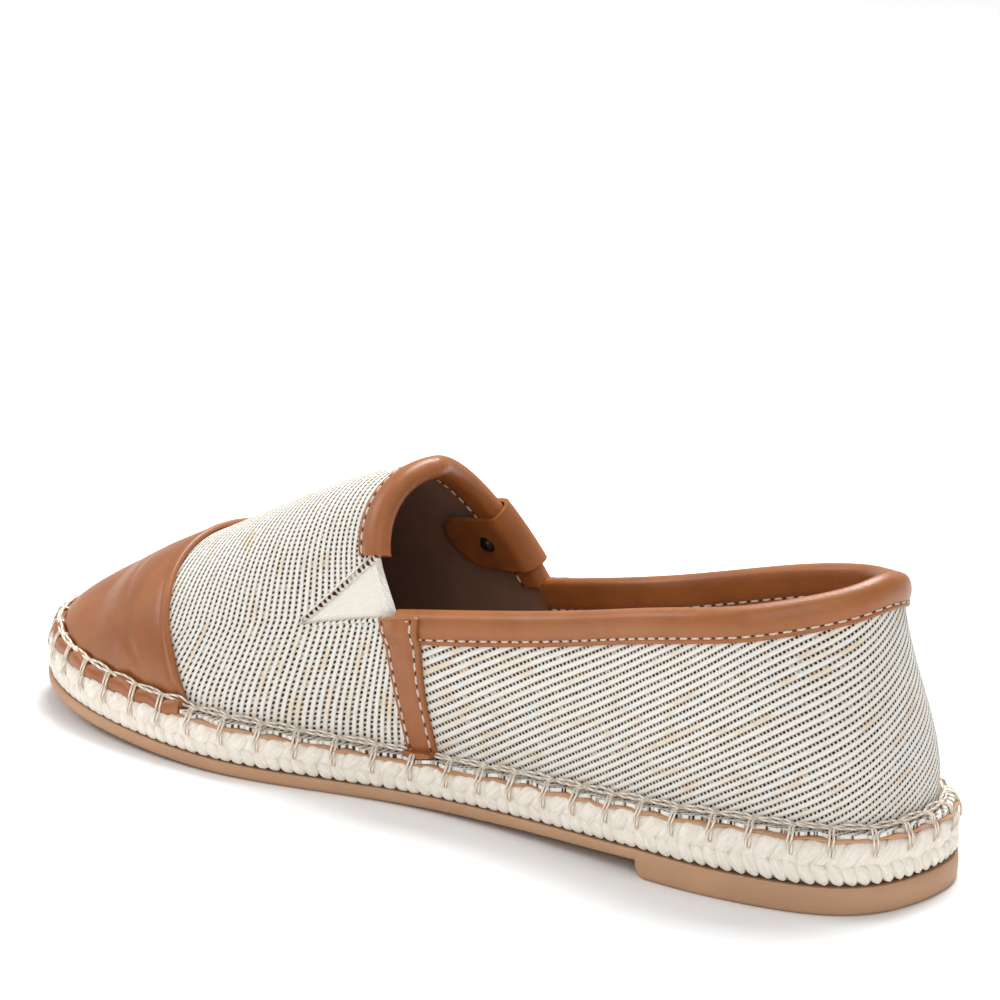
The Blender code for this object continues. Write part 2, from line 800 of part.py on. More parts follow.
def throat_line(side):
    """Points of the throat edge from the collar line up to the middle, with their parts and run."""
    parts = np.linspace(1, 2, COLUMN_STEPS)
    points = column(side, THROAT, parts)
    run = np.concatenate(([0.0], np.cumsum(np.linalg.norm(np.diff(points, axis=0), axis=1))))
    return points, parts, run


def build_vamp_binding(finish):
    """Leather folded over the throat edge, from gore to gore over the instep."""
    steps = 4
    far, near = [], []
    lines = []
    for side in (INNER, OUTER):
        points, parts, run = throat_line(side)
        start = float(np.interp(GORE_OPENING, run, parts))
        found = [(side, part) for part in np.linspace(start, 2, TOP_ROWS + 1)]
        lines += found if side == INNER else list(reversed(found))[1:]
    for side, part in lines:
        outer = edge_forward(side, part, THROAT_BAND, steps)
        inner = edge_forward(side, part, INNER_BAND, steps - 1)
        line_far, line_near = folded(outer, inner, GAP, INNER_CLEAR, GAP, BINDING_ROUND)
        far.append(line_far)
        near.append(line_near)
    return thick_patch("vamp_binding", far, near, finish)


def build_strip(name, side, finish):
    """Leather strip over the seam of quarter and vamp, from the collar down over the flange."""
    columns = range(AT_THROAT, AT_STRIP + 1)
    far = [[skin_point(side, at, row, GAP + LEATHER) for row in range(AT_COLLAR + 1)] for at in columns]
    near = [[skin_point(side, at, row, GAP) for row in range(AT_COLLAR + 1)] for at in columns]
    return thick_patch(name, far, near, finish)


def gore_corners(side):
    """Corners of a gore's V seen from the side: at the collar, at its tip and at the binding."""
    points, parts, run = throat_line(side)
    low = points[0]
    tip = low + np.array((0.0, GORE_TIP_FORWARD, -GORE_TIP_DROP))
    high = np.array([np.interp(GORE_OPENING, run, points[:, axis]) for axis in range(3)])
    return low, tip, high


def build_gore(name, side, finish):
    """Elastic behind the V cut, wider than the cut by a margin."""
    low, tip, high = gore_corners(side)
    end = tip[1] + GORE_MARGIN
    far, near = [], []
    share = THROAT + GAP / OUTLINE[side]["run"]
    last = share
    while column(side, last, [1.0])[0][1] < end:
        last += 0.004
    dense = np.linspace(0, 2, COLUMN_STEPS * 2)
    for line, place in enumerate(np.linspace(share, last, GORE_LINES)):
        points = column(side, place, dense)
        bottom = np.interp(points[:, 1], (low[1], tip[1]), (low[2], tip[2])) - GORE_MARGIN
        top = np.interp(points[:, 1], (high[1], tip[1]), (high[2], tip[2])) + GORE_MARGIN
        inside = dense[(points[:, 2] >= bottom) & (points[:, 2] <= top)]
        rows = np.linspace(inside[0], inside[-1], GORE_LINES)
        normals = [surface_normal(side, place, part) for part in rows]
        found = column(side, place, rows)
        far.append([point - normal * (WALL + GAP) for point, normal in zip(found, normals)])
        near.append([point - normal * (WALL + GAP + GORE_THICKNESS) for point, normal in zip(found, normals)])
    return thick_patch(name, far, near, finish)


def cut_gore(upper, side):
    """Cuts the V for a gore through the wall on one side."""
    low, tip, high = gore_corners(side)
    back = np.array((0.0, -LENGTH / 8, 0.0))
    ring = [low + back, low, tip, high, high + back]
    near, far = side * BALL_WIDTH / 8, side * BALL_WIDTH
    points = [np.array((across, corner[1], corner[2])) for across in (near, far) for corner in ring]
    count = len(ring)
    faces = [tuple(range(count)), tuple(range(2 * count - 1, count - 1, -1))]
    faces += [(at, (at + 1) % count, (at + 1) % count + count, at + count) for at in range(count)]
    cutter = add_solid(f"gore_cutter_{'inner' if side == INNER else 'outer'}", points, faces,
                       upper.data.materials[0])
    cutter.hide_render = True
    cutter.display_type = "WIRE"
    cut = upper.modifiers.new(f"cut {cutter.name}", "BOOLEAN")
    cut.operation = "DIFFERENCE"
    cut.solver = "EXACT"
    cut.object = cutter


def tab_path(part, reach):
    """Outer and inner halves of one line of the tab over the throat edge."""
    steps = 5
    outer = edge_forward(OUTER, part, reach, steps)
    return outer, outer


def tab_parts():
    """Parts of the throat edge that the tab's lines cross, and their distances from its middle."""
    points, parts, run = throat_line(OUTER)
    middle = float(np.interp(TAB_CENTRE_HEIGHT, points[:, 2], run))
    across = np.sin(np.linspace(-np.pi / 2, np.pi / 2, TAB_LINES)) * TAB_WIDTH / 2
    return np.interp(middle + across, run, parts), across


def build_tab(finish):
    """Leather tab folded over the outer side of the throat edge, round at both ends."""
    outer_clear = GAP + LEATHER + GAP
    inner_clear = INNER_CLEAR + LEATHER + GAP
    far, near = [], []
    radius = TAB_WIDTH / 2
    for part, across in zip(*tab_parts()):
        reach = TAB_REACH - radius + np.sqrt(max(radius ** 2 - across ** 2, 0.0))
        outer, inner = tab_path(part, reach)
        line_far, line_near = folded(outer, inner, outer_clear, inner_clear, THROAT_FOLD + GAP, TAB_ROUND)
        far.append(line_far)
        near.append(line_near)
    return thick_patch("tab", far, near, finish)


def build_rivet(finish):
    """Low domed head on the inner leaf of the tab."""
    parts, across = tab_parts()
    middle = parts[len(parts) // 2]
    found, normals = edge_forward(OUTER, middle, RIVET_FROM_EDGE, 3)
    depth = WALL + INNER_CLEAR + LEATHER + GAP + LEATHER + GAP
    into = -normals[-1]
    base = found[-1] + into * depth
    first = unit(np.cross(into, UP))
    second = np.cross(into, first)
    rings = ((1.0, 0.0), (1.0, 0.35), (0.75, 0.8), (0.35, 1.0))
    points = []
    for wide, high in rings:
        for turn in np.linspace(0, 2 * np.pi, RIVET_SIDES, endpoint=False):
            spin = first * np.cos(turn) + second * np.sin(turn)
            points.append(base + spin * wide * RIVET_RADIUS + into * high * RIVET_DOME)
    faces = [tuple(range(RIVET_SIDES)), tuple(range(len(points) - 1, len(points) - RIVET_SIDES - 1, -1))]
    for ring in range(len(rings) - 1):
        for at in range(RIVET_SIDES):
            start, after = ring * RIVET_SIDES, (at + 1) % RIVET_SIDES
            faces.append((start + at, start + after, start + after + RIVET_SIDES, start + at + RIVET_SIDES))
    return add_solid("tab_rivet", points, faces, finish)


def clear_scene():
    """Removes what the scene holds."""
    for old in list(bpy.data.objects):
        bpy.data.objects.remove(old, do_unlink=True)


def main():
    """Builds every piece of the shoe."""
    clear_scene()
    leather = material("tan_leather", LEATHER_COLOUR, 0.45)
    textile = material("woven_textile", TEXTILE_COLOUR, 0.9)
    rope = material("jute_rope", ROPE_COLOUR, 0.95)
    rubber = material("tan_rubber", RUBBER_COLOUR, 0.6)
    lining = material("lining", LINING_COLOUR, 0.8)
    elastic = material("elastic", ELASTIC_COLOUR, 0.85)
    metal = material("dark_metal", RIVET_COLOUR, 0.35, 1.0)
    build_outsole(rubber)
    build_rope(rope)
    build_insole(lining)
    upper = skin_shell("upper", 0, 0, AT_RIDGE, -WALL, 0.0, textile)
    skin_shell("toe_cap", AT_CAP, 0, AT_RIDGE, GAP, GAP + LEATHER, leather)
    build_quarter_binding(leather)
    build_vamp_binding(leather)
    for side, word in ((INNER, "inner"), (OUTER, "outer")):
        cut_gore(upper, side)
        build_strip(f"side_strip_{word}", side, leather)
        build_gore(f"gore_{word}", side, elastic)
    build_tab(leather)
    build_rivet(metal)


main()
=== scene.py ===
"""Looks of a right slip-on espadrille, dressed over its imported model.

Every size is in metres. The shoe is drawn in its own maker's frame, with the back of the
heel at zero along Y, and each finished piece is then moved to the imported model's frame.
"""

import logging
from dataclasses import dataclass, field
from enum import Enum
from typing import Sequence

import bmesh
import bpy
import numpy as np
from mathutils import Matrix, Vector


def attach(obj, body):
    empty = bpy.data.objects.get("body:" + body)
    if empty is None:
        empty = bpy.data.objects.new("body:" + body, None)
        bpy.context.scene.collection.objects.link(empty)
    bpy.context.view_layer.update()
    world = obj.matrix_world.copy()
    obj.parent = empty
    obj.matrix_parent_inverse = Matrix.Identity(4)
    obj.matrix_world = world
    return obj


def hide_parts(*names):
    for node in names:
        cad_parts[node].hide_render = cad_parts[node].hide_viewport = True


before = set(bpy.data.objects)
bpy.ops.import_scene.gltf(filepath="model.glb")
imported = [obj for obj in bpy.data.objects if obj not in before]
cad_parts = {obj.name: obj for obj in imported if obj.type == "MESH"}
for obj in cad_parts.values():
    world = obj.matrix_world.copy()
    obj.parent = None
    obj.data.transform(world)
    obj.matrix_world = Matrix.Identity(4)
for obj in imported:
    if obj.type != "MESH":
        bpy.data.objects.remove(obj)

LOG = logging.getLogger("espadrille")
MM = 0.001

Array = np.ndarray
Colour = tuple[float, float, float]


class Side(Enum):
    """The two sides of the shoe, by the sign of X."""

    INNER = -1
    OUTER = 1


class Slot(Enum):
    """Finishes that the record names."""

    RUBBER = "tan_rubber"
    ROPE = "jute_rope"
    LINING = "lining"
    TEXTILE = "woven_textile"
    LEATHER = "tan_leather"
    ELASTIC = "elastic"
    METAL = "dark_metal"


def unit(vectors: Array) -> Array:
    """Vectors brought to length one."""
    vectors = np.asarray(vectors, float)
    return vectors / np.maximum(np.linalg.norm(vectors, axis=-1, keepdims=True), 1e-12)


def smooth(low: float, high: float, value: Array) -> Array:
    """Soft step from 0 at low to 1 at high."""
    part = np.clip((np.asarray(value, float) - low) / (high - low), 0.0, 1.0)
    return part * part * (3.0 - 2.0 * part)


def hump(value: Array, centre: float, width: float) -> Array:
    """Soft hump of height one and the given half width."""
    return np.exp(-(((np.asarray(value, float) - centre) / width) ** 2))


def ripple(value: Array, seed: int, waves: Sequence[tuple[float, float]]) -> Array:
    """Sum of sine waves with seeded phases.

    Args:
        value: where the waves are read.
        seed: fixes the phases.
        waves: wavelength and height of each wave.

    Returns:
        The height of the sum at each value.
    """
    random = np.random.RandomState(seed)
    total = np.zeros_like(np.asarray(value, float))
    for length, height in waves:
        total = total + height * np.sin(2 * np.pi * (value / length + random.rand()))
    return total


def run_of(points: Array) -> Array:
    """Distance along a line of points, from zero at its first point."""
    return np.concatenate(([0.0], np.cumsum(np.linalg.norm(np.diff(points, axis=0), axis=1))))


def at_runs(points: Array, runs: Array) -> Array:
    """Points of a line at distances along it."""
    run = run_of(points)
    return np.stack([np.interp(runs, run, points[:, axis]) for axis in range(points.shape[1])], axis=-1)


class Curve:
    """Smooth curve through a row of values for each knot."""

    def __init__(self, knots: Sequence[float], values: Sequence, wrap: bool = False) -> None:
        """Solves for the slopes at the knots.

        Args:
            knots: rising places of the rows.
            values: one row of values for each knot.
            wrap: whether the last row joins the first without a corner.
        """
        self.knots = np.asarray(knots, float)
        self.values = np.asarray(values, float).reshape(len(self.knots), -1)
        self.gaps = np.diff(self.knots)
        self.slopes = self._solve(wrap)

    def _solve(self, wrap: bool) -> Array:
        """Slopes that keep the curvature steady at every knot.

        Args:
            wrap: whether the last row joins the first without a corner.

        Returns:
            One row of slopes for each knot.
        """
        count, gaps = len(self.knots), self.gaps
        rises = np.diff(self.values, axis=0) / gaps[:, None]
        matrix = np.zeros((count, count))
        side = np.zeros_like(self.values)
        for row in range(1, count - 1):
            before, after = gaps[row - 1], gaps[row]
            matrix[row, row - 1:row + 2] = after, 2 * (before + after), before
            side[row] = 3 * (after * rises[row - 1] + before * rises[row])
        if wrap:
            matrix[0, 0] = 2 * (gaps[-1] + gaps[0])
            matrix[0, 1] = gaps[-1]
            matrix[0, -2] = gaps[0]
            side[0] = 3 * (gaps[0] * rises[-1] + gaps[-1] * rises[0])
            matrix[-1, 0] = 1
            matrix[-1, -1] = -1
        else:
            matrix[0, :2] = 2, 1
            side[0] = 3 * rises[0]
            matrix[-1, -2:] = 1, 2
            side[-1] = 3 * rises[-1]
        return np.linalg.solve(matrix, side)

    def __call__(self, where: Array) -> Array:
        """Rows of values at places along the knots, one row for each place.

        Args:
            where: places along the knots.

        Returns:
            One row of values for each place.
        """
        where = np.asarray(where, float)
        flat = where.ravel()
        cell = np.clip(np.searchsorted(self.knots, flat, side="right") - 1, 0, len(self.knots) - 2)
        wide = self.gaps[cell][:, None]
        part = (flat - self.knots[cell])[:, None] / wide
        rest = 1 - part
        found = (self.values[cell] * (1 + 2 * part) * rest ** 2
                 + self.values[cell + 1] * (1 + 2 * rest) * part ** 2
                 + self.slopes[cell] * wide * part * rest ** 2
                 - self.slopes[cell + 1] * wide * rest * part ** 2)
        return found.reshape(*where.shape, -1)


@dataclass
class ShoeForm:
    """Shape of the shoe: its sole outline and the upper's outer skin.

    A place on the skin is a side, a share of that side's run from heel to toe, and a part
    of the way up: 0 at the foot of the wall, 1 on the collar line, 2 on the vamp's middle.
    """

    length: float = 0.250
    ball_width: float = 0.084
    heel_height: float = 0.0700
    instep_height: float = 0.0742
    gap: float = 0.0003
    heel_step: float = 0.0037
    waist_slab: float = 0.0026
    forepart_slab: float = 0.0031
    toe_spring: float = 0.0056
    breast: float = 0.220
    waist_end: float = 0.56
    waist_ease: float = 1.3
    spring_start: float = 0.60
    rope_height: float = 0.0096
    wall: float = 0.0015
    flange_inset: float = 0.0011
    flange_reach: float = 0.0037
    foot_fillet: float = 0.0014
    leather: float = 0.0011
    strip_width: float = 0.0088
    gore_tip_forward: float = 0.0270
    gore_tip_drop: float = 0.0068
    gore_opening: float = 0.0155
    collar_share: float = 0.315
    cap_foot: float = 0.728
    sole_rows: tuple = (
        # along, inner, outer
        (0.012, 0.173, 0.204), (0.050, 0.279, 0.335), (0.120, 0.341, 0.390),
        (0.200, 0.359, 0.381), (0.320, 0.328, 0.387), (0.420, 0.312, 0.407),
        (0.520, 0.338, 0.445), (0.620, 0.427, 0.499), (0.700, 0.473, 0.527),
        (0.780, 0.465, 0.512), (0.860, 0.420, 0.445), (0.930, 0.326, 0.318),
        (0.980, 0.178, 0.170))
    rope_rows: tuple = (
        # along, height
        (0.00, 1.00), (0.12, 1.00), (0.22, 0.82), (0.35, 0.71), (0.47, 0.63),
        (0.62, 0.74), (0.80, 0.72), (1.00, 0.78))
    collar_rows: tuple = (
        # round, along, inner, outer, height, low_out, high_out
        (0.000, 0.050, 0.000, 0.000, 0.996, 0.010, 0.018),
        (0.050, 0.061, 0.114, 0.110, 0.972, 0.011, 0.019),
        (0.100, 0.099, 0.228, 0.222, 0.930, 0.015, 0.022),
        (0.160, 0.144, 0.301, 0.311, 0.894, 0.026, 0.028),
        (0.240, 0.222, 0.318, 0.325, 0.838, 0.030, 0.020),
        (0.330, 0.334, 0.282, 0.266, 0.738, 0.028, 0.012))
    vamp_rows: tuple = (
        # foot, ridge, across, height, low_on, high_on,
        #     in_rise, in_out, in_round, out_rise, out_out, out_round
        (0.455, 0.545, -0.036, 0.990, 0.060, 0.030, 0.62, 0.130, 0.225, 0.55, 0.000, 0.200),
        (0.520, 0.607, -0.030, 0.934, 0.056, 0.020, 0.60, 0.090, 0.235, 0.56, 0.010, 0.220),
        (0.620, 0.694, -0.018, 0.807, 0.050, 0.006, 0.55, 0.040, 0.250, 0.55, 0.015, 0.245),
        (0.730, 0.796, -0.006, 0.632, 0.044, 0.000, 0.52, 0.010, 0.245, 0.52, 0.015, 0.250),
        (0.820, 0.868, 0.000, 0.509, 0.026, 0.000, 0.50, 0.005, 0.205, 0.50, 0.008, 0.215),
        (0.880, 0.900, 0.000, 0.448, 0.010, 0.000, 0.32, 0.004, 0.130, 0.32, 0.005, 0.140),
        (1.000, 0.900, 0.000, 0.448, 0.000, 0.000, 0.20, 0.004, 0.060, 0.20, 0.004, 0.060))
    seam_sweep: float = 0.0034
    crown: float = 0.06
    steps: int = 900

    def __post_init__(self) -> None:
        """Works out the outline, the curves of the tables and the collar."""
        self.sides = self._make_outline()
        corners = np.concatenate([line["points"] for line in self.sides.values()])
        self.centre = np.append((corners.min(axis=0) + corners.max(axis=0)) / 2, 0.0)
        rope = np.array(self.rope_rows)
        self.rope_curve = Curve(rope[:, 0], rope[:, 1])
        vamp = np.array(self.vamp_rows)
        self.vamp_curve = Curve(vamp[:, 0], vamp[:, 1:])
        self.throat = float(np.mean([self.share_of(side, vamp[0, 0]) for side in (-1, 1)]))
        self.cap_start = self.share_of(-1, self.cap_foot)
        self.collars = {side: self._make_collar(side) for side in (-1, 1)}

    def _make_outline(self) -> dict[int, dict[str, Array]]:
        """Dense points, inward directions and shares of the run for each side of the sole.

        Returns:
            The fields of each side's outline, by name.
        """
        rows = [(0.0, 0.0)]
        rows += [(-inner * self.ball_width, along * self.length) for along, inner, outer in self.sole_rows]
        rows += [(0.0, self.length)]
        rows += [(outer * self.ball_width, along * self.length)
                 for along, inner, outer in reversed(self.sole_rows)]
        rows = np.array(rows + [(0.0, 0.0)])
        knots = np.concatenate(([0.0], np.cumsum(np.linalg.norm(np.diff(rows, axis=0), axis=1) ** 0.5)))
        curve = Curve(knots, rows, wrap=True)
        toe = knots[len(self.sole_rows) + 1]
        sides = {}
        for side, ends in ((-1, (0.0, toe)), (1, (knots[-1], toe))):
            points = curve(np.linspace(*ends, self.steps))
            ahead = unit(np.gradient(points, axis=0))
            inward = np.stack((-side * ahead[:, 1], side * ahead[:, 0]), axis=1)
            run = run_of(points)
            sides[side] = {"points": points, "inward": inward, "share": run / run[-1], "run": run[-1]}
        for end in (0, -1):
            middle = unit(sides[-1]["inward"][end] + sides[1]["inward"][end])
            sides[-1]["inward"][end] = middle
            sides[1]["inward"][end] = middle
        return sides

    def run(self, side: int) -> float:
        """Length of one side of the sole from heel to toe."""
        return float(self.sides[side]["run"])

    def share_of(self, side: int, along: float) -> float:
        """Share of a side's run where the sole reaches a place along the shoe."""
        line = self.sides[side]
        return float(np.interp(along * self.length, line["points"][:, 1], line["share"]))

    def _read(self, side: int, shares: Array, name: str) -> Array:
        """One field of a side's outline at shares of its run."""
        line = self.sides[side]
        return np.stack([np.interp(shares, line["share"], line[name][:, axis]) for axis in (0, 1)], axis=-1)

    def outline(self, side: int, shares: Array, inset: Array = 0.0) -> Array:
        """Plan points of one side of the sole, moved inwards by inset."""
        inset = np.asarray(inset, float)[..., None]
        return self._read(side, shares, "points") + self._read(side, shares, "inward") * inset

    def inward(self, side: int, shares: Array) -> Array:
        """Direction in from the sole's outline, as points in space."""
        found = unit(self._read(side, shares, "inward"))
        return np.concatenate((found, np.zeros(found.shape[:-1] + (1,))), axis=-1)

    def lift(self, along: Array) -> Array:
        """Height of the slab's underside over the floor.

        Args:
            along: places along the shoe.

        Returns:
            The height at each place.
        """
        waist = np.clip((self.waist_end - along) / (self.waist_end - self.breast), 0, 1)
        toe = np.clip((along - self.spring_start) / (1 - self.spring_start), 0, 1)
        return self.heel_step * waist ** self.waist_ease + self.toe_spring * toe ** 2

    def sole_top(self, plan: Array) -> Array:
        """Height of the outsole's upper face at plan points.

        Args:
            plan: plan points.

        Returns:
            The height at each point.
        """
        along = plan[..., 1] / self.length
        return self.lift(along) + np.interp(along, (self.breast, self.waist_end),
                                            (self.waist_slab, self.forepart_slab))

    def rope_top(self, plan: Array) -> Array:
        """Height of the rope's upper face at plan points."""
        along = np.clip(plan[..., 1] / self.length, 0, 1)
        return self.sole_top(plan) + self.rope_curve(along)[..., 0] * self.rope_height

    def flange_top(self, plan: Array) -> Array:
        """Height of the upper face of the cloth turned out on the rope."""
        return self.rope_top(plan) + self.gap + self.wall

    @staticmethod
    def raised(plan: Array, height: Array) -> Array:
        """Plan points given a height."""
        height = np.broadcast_to(height, plan.shape[:-1])
        return np.concatenate((plan, height[..., None]), axis=-1)

    def _foot(self, side: int, shares: Array) -> tuple[Array, Array]:
        """Foot of the wall over its fillet, and the outward direction there.

        Args:
            side: -1 for the inner side, 1 for the outer.
            shares: shares of the side's run.

        Returns:
            The points of the foot and the outward directions.
        """
        plan = self.outline(side, shares, self.flange_inset + self.flange_reach)
        inward = self._read(side, shares, "inward")
        outward = np.concatenate((-inward, np.zeros(inward.shape[:-1] + (1,))), axis=-1)
        return self.raised(plan, self.flange_top(plan) + self.foot_fillet), outward

    def mean_along(self, shares: Array) -> Array:
        """Place along the shoe of both sides' outline at one share of their run."""
        return (self.outline(-1, shares)[..., 1] + self.outline(1, shares)[..., 1]) / 2 / self.length

    def ridge(self, shares: Array) -> tuple[Array, Array]:
        """Points on the middle line of the vamp and the direction of that line.

        Args:
            shares: shares of the side's run.

        Returns:
            The points and the directions.
        """
        along = self.mean_along(shares)
        fan = self.vamp_rows[-2][0]
        pole = self.vamp_rows[-1][1]

        def at(place: Array) -> Array:
            """Points of the middle line at places along the shoe."""
            row = self.vamp_curve(place)
            return np.stack((row[..., 1] * self.ball_width, np.minimum(row[..., 0], pole) * self.length,
                             row[..., 2] * self.instep_height), axis=-1)

        here = np.minimum(along, fan - 0.03)
        return at(np.minimum(along, fan)), unit(at(here + 0.02) - at(here))

    def _vamp_controls(self, side: int, shares: Array) -> Array:
        """Four control points of each wall column over the vamp.

        Args:
            side: -1 for the inner side, 1 for the outer.
            shares: shares of the side's run.

        Returns:
            Four control points for each share.
        """
        row = self.vamp_curve(self.mean_along(shares))
        foot, outward = self._foot(side, shares)
        top, ahead = self.ridge(shares)
        first = 5 if side == -1 else 8
        rise, out, around = (row[..., first + step, None] for step in range(3))
        low_on, high_on = row[..., 3] * self.length, row[..., 4] * self.length
        fan = np.maximum(0.0, np.arctan2(foot[..., 1] - top[..., 1], np.abs(foot[..., 0] - top[..., 0])))
        turn, away = np.cos(fan)[..., None], np.sin(fan)[..., None]
        leave = np.array((side, 0.0, 0.0)) * turn + ahead * away
        low = foot + outward * out * self.ball_width
        low[..., 2] += rise[..., 0] * (top[..., 2] - foot[..., 2])
        low[..., 1] += low_on * turn[..., 0]
        high = top + leave * around * self.ball_width + ahead * high_on[..., None] * turn
        return np.stack((foot, low, high, top), axis=-2)

    def _make_collar(self, side: int) -> tuple[Curve, Curve, Curve]:
        """Curves of the loose control points of the wall below the collar.

        Args:
            side: -1 for the inner side, 1 for the outer.

        Returns:
            The collar's own curve, then those of the lower and upper control points.
        """
        rounds, lows, highs, tops = [], [], [], []
        for around, along, inner, outer, height, low_out, high_out in self.collar_rows:
            wide = inner if side == -1 else outer
            foot = self._foot(side, np.array(around))[0]
            top = np.array((side * wide * self.ball_width, along * self.length, height * self.heel_height))
            rise = (top[2] - foot[2]) / 3
            rounds.append(around)
            lows.append((low_out * self.ball_width, 0.0, rise))
            highs.append((high_out * self.ball_width, 0.0, -rise))
            tops.append(top)
        outward = self._foot(side, np.array(self.throat))[1]
        beside = np.cross((0.0, 0.0, 1.0), outward) * side
        points = self._vamp_controls(side, np.array(self.throat))
        kept = [points[0]]
        while len(points) > 1:
            points = points[:-1] * (1 - self.collar_share) + points[1:] * self.collar_share
            kept.append(points[0])
        rounds.append(self.throat)
        for found, step in ((lows, kept[1] - kept[0]), (highs, kept[2] - kept[3])):
            found.append((step @ outward, step @ beside, step[2]))
        tops.append(kept[3])
        mirror = np.array((-1.0, 1.0, 1.0))
        back = [-value for value in reversed(rounds[1:])]
        return (Curve(back + rounds, [top * mirror for top in reversed(tops[1:])] + tops),
                Curve(rounds, lows), Curve(rounds, highs))

    def _collar_controls(self, side: int, shares: Array) -> Array:
        """Four control points of each wall column below the collar.

        Args:
            side: -1 for the inner side, 1 for the outer.
            shares: shares of the side's run.

        Returns:
            Four control points for each share.
        """
        tops, lows, highs = (curve(shares) for curve in self.collars[side])
        foot, outward = self._foot(side, shares)
        beside = np.cross((0.0, 0.0, 1.0), outward) * side
        up = np.array((0.0, 0.0, 1.0))
        low = foot + outward * lows[..., :1] + beside * lows[..., 1:2] + up * lows[..., 2:]
        high = tops + outward * highs[..., :1] + beside * highs[..., 1:2] + up * highs[..., 2:]
        return np.stack((foot, low, high, tops), axis=-2)

    def _one_side(self, side: int, shares: Array, parts: Array) -> Array:
        """Skin points of one side, at flat lists of shares and parts.

        Args:
            side: -1 for the inner side, 1 for the outer.
            shares: shares of the side's run.
            parts: parts of the way up the wall.

        Returns:
            One skin point for each place.
        """
        shares = np.clip(shares, 0.0, 1.0)
        vamp = shares >= self.throat
        found = np.empty(shares.shape + (3,))
        if vamp.any():
            front = parts[vamp]
            where = np.where(front <= 1, front * self.collar_share,
                             self.collar_share + (front - 1) * (1 - self.collar_share))
            found[vamp] = self._bezier(self._vamp_controls(side, shares[vamp]), where)
        if not vamp.all():
            found[~vamp] = self._bezier(self._collar_controls(side, shares[~vamp]), parts[~vamp])
        return found

    @staticmethod
    def _bezier(controls: Array, part: Array) -> Array:
        """Points of cubics at parts of their run.

        Args:
            controls: four control points of each cubic.
            part: part of the run of each cubic.

        Returns:
            One point for each cubic.
        """
        part = part[..., None]
        rest = 1 - part
        return (controls[..., 0, :] * rest ** 3 + 3 * controls[..., 1, :] * rest ** 2 * part
                + 3 * controls[..., 2, :] * rest * part ** 2 + controls[..., 3, :] * part ** 3)

    def _raw_skin(self, side: Array, shares: Array, parts: Array) -> Array:
        """Skin points at flat lists of places, before the crown is rounded.

        Args:
            side: -1 for the inner side, 1 for the outer.
            shares: shares of the side's run.
            parts: parts of the way up the wall.

        Returns:
            One skin point for each place.
        """
        past = (shares < 0) | (shares > 1)
        shares = np.where(shares < 0, -shares, np.where(shares > 1, 2 - shares, shares))
        over = parts > 2
        parts = np.where(over, 4 - parts, parts)
        side = np.where(past ^ over, -side, side)
        found = np.empty(side.shape + (3,))
        for hand in (-1, 1):
            mine = side == hand
            if mine.any():
                found[mine] = self._one_side(hand, shares[mine], parts[mine])
        return found

    def skin(self, side: Array, shares: Array, parts: Array) -> Array:
        """Skin points; shares past either end and parts past 2 go on over the other side.

        Args:
            side: -1 for the inner side, 1 for the outer.
            shares: shares of the side's run.
            parts: parts of the way up the wall.

        Returns:
            One skin point for each place.
        """
        wide = np.broadcast(np.asarray(side), np.asarray(shares), np.asarray(parts)).shape
        side, shares, parts = (np.broadcast_to(np.asarray(value, float), wide).ravel()
                               for value in (side, shares, parts))
        found = self._raw_skin(side, shares, parts)
        reach = smooth(0.16, 0.0, np.abs(parts - 2.0)) * self.crown
        near = reach > 0
        if near.any():
            side, shares, parts, reach = side[near], shares[near], parts[near], reach[near]
            beside = self._raw_skin(side, shares, parts - reach) + self._raw_skin(side, shares,
                                                                                  parts + reach)
            found[near] = found[near] / 2 + beside / 4
        return found.reshape(*wide, 3)

    def normal(self, side: Array, shares: Array, parts: Array, step: float = 0.003) -> Array:
        """Outward normals of the skin.

        Args:
            side: -1 for the inner side, 1 for the outer.
            shares: shares of the side's run.
            parts: parts of the way up the wall.
            step: how far apart the compared places lie.

        Returns:
            One normal for each place.
        """
        side, shares, parts = np.broadcast_arrays(np.asarray(side), np.asarray(shares, float),
                                                  np.asarray(parts, float))
        before = np.where((shares >= self.throat) & (parts > 0.98),
                          np.maximum(shares - step, self.throat), shares - step)
        after = np.where((shares < self.throat), np.minimum(shares + step, self.throat - 1e-6),
                         shares + step)
        across = self.skin(side, after, parts) - self.skin(side, before, parts)
        low = np.maximum(parts - step * 2, 0.0)
        high = np.where(shares < self.throat, np.minimum(parts + step * 2, 1.0), parts + step * 2)
        up = self.skin(side, shares, high) - self.skin(side, shares, low)
        return unit(np.cross(across, up) * side[..., None])

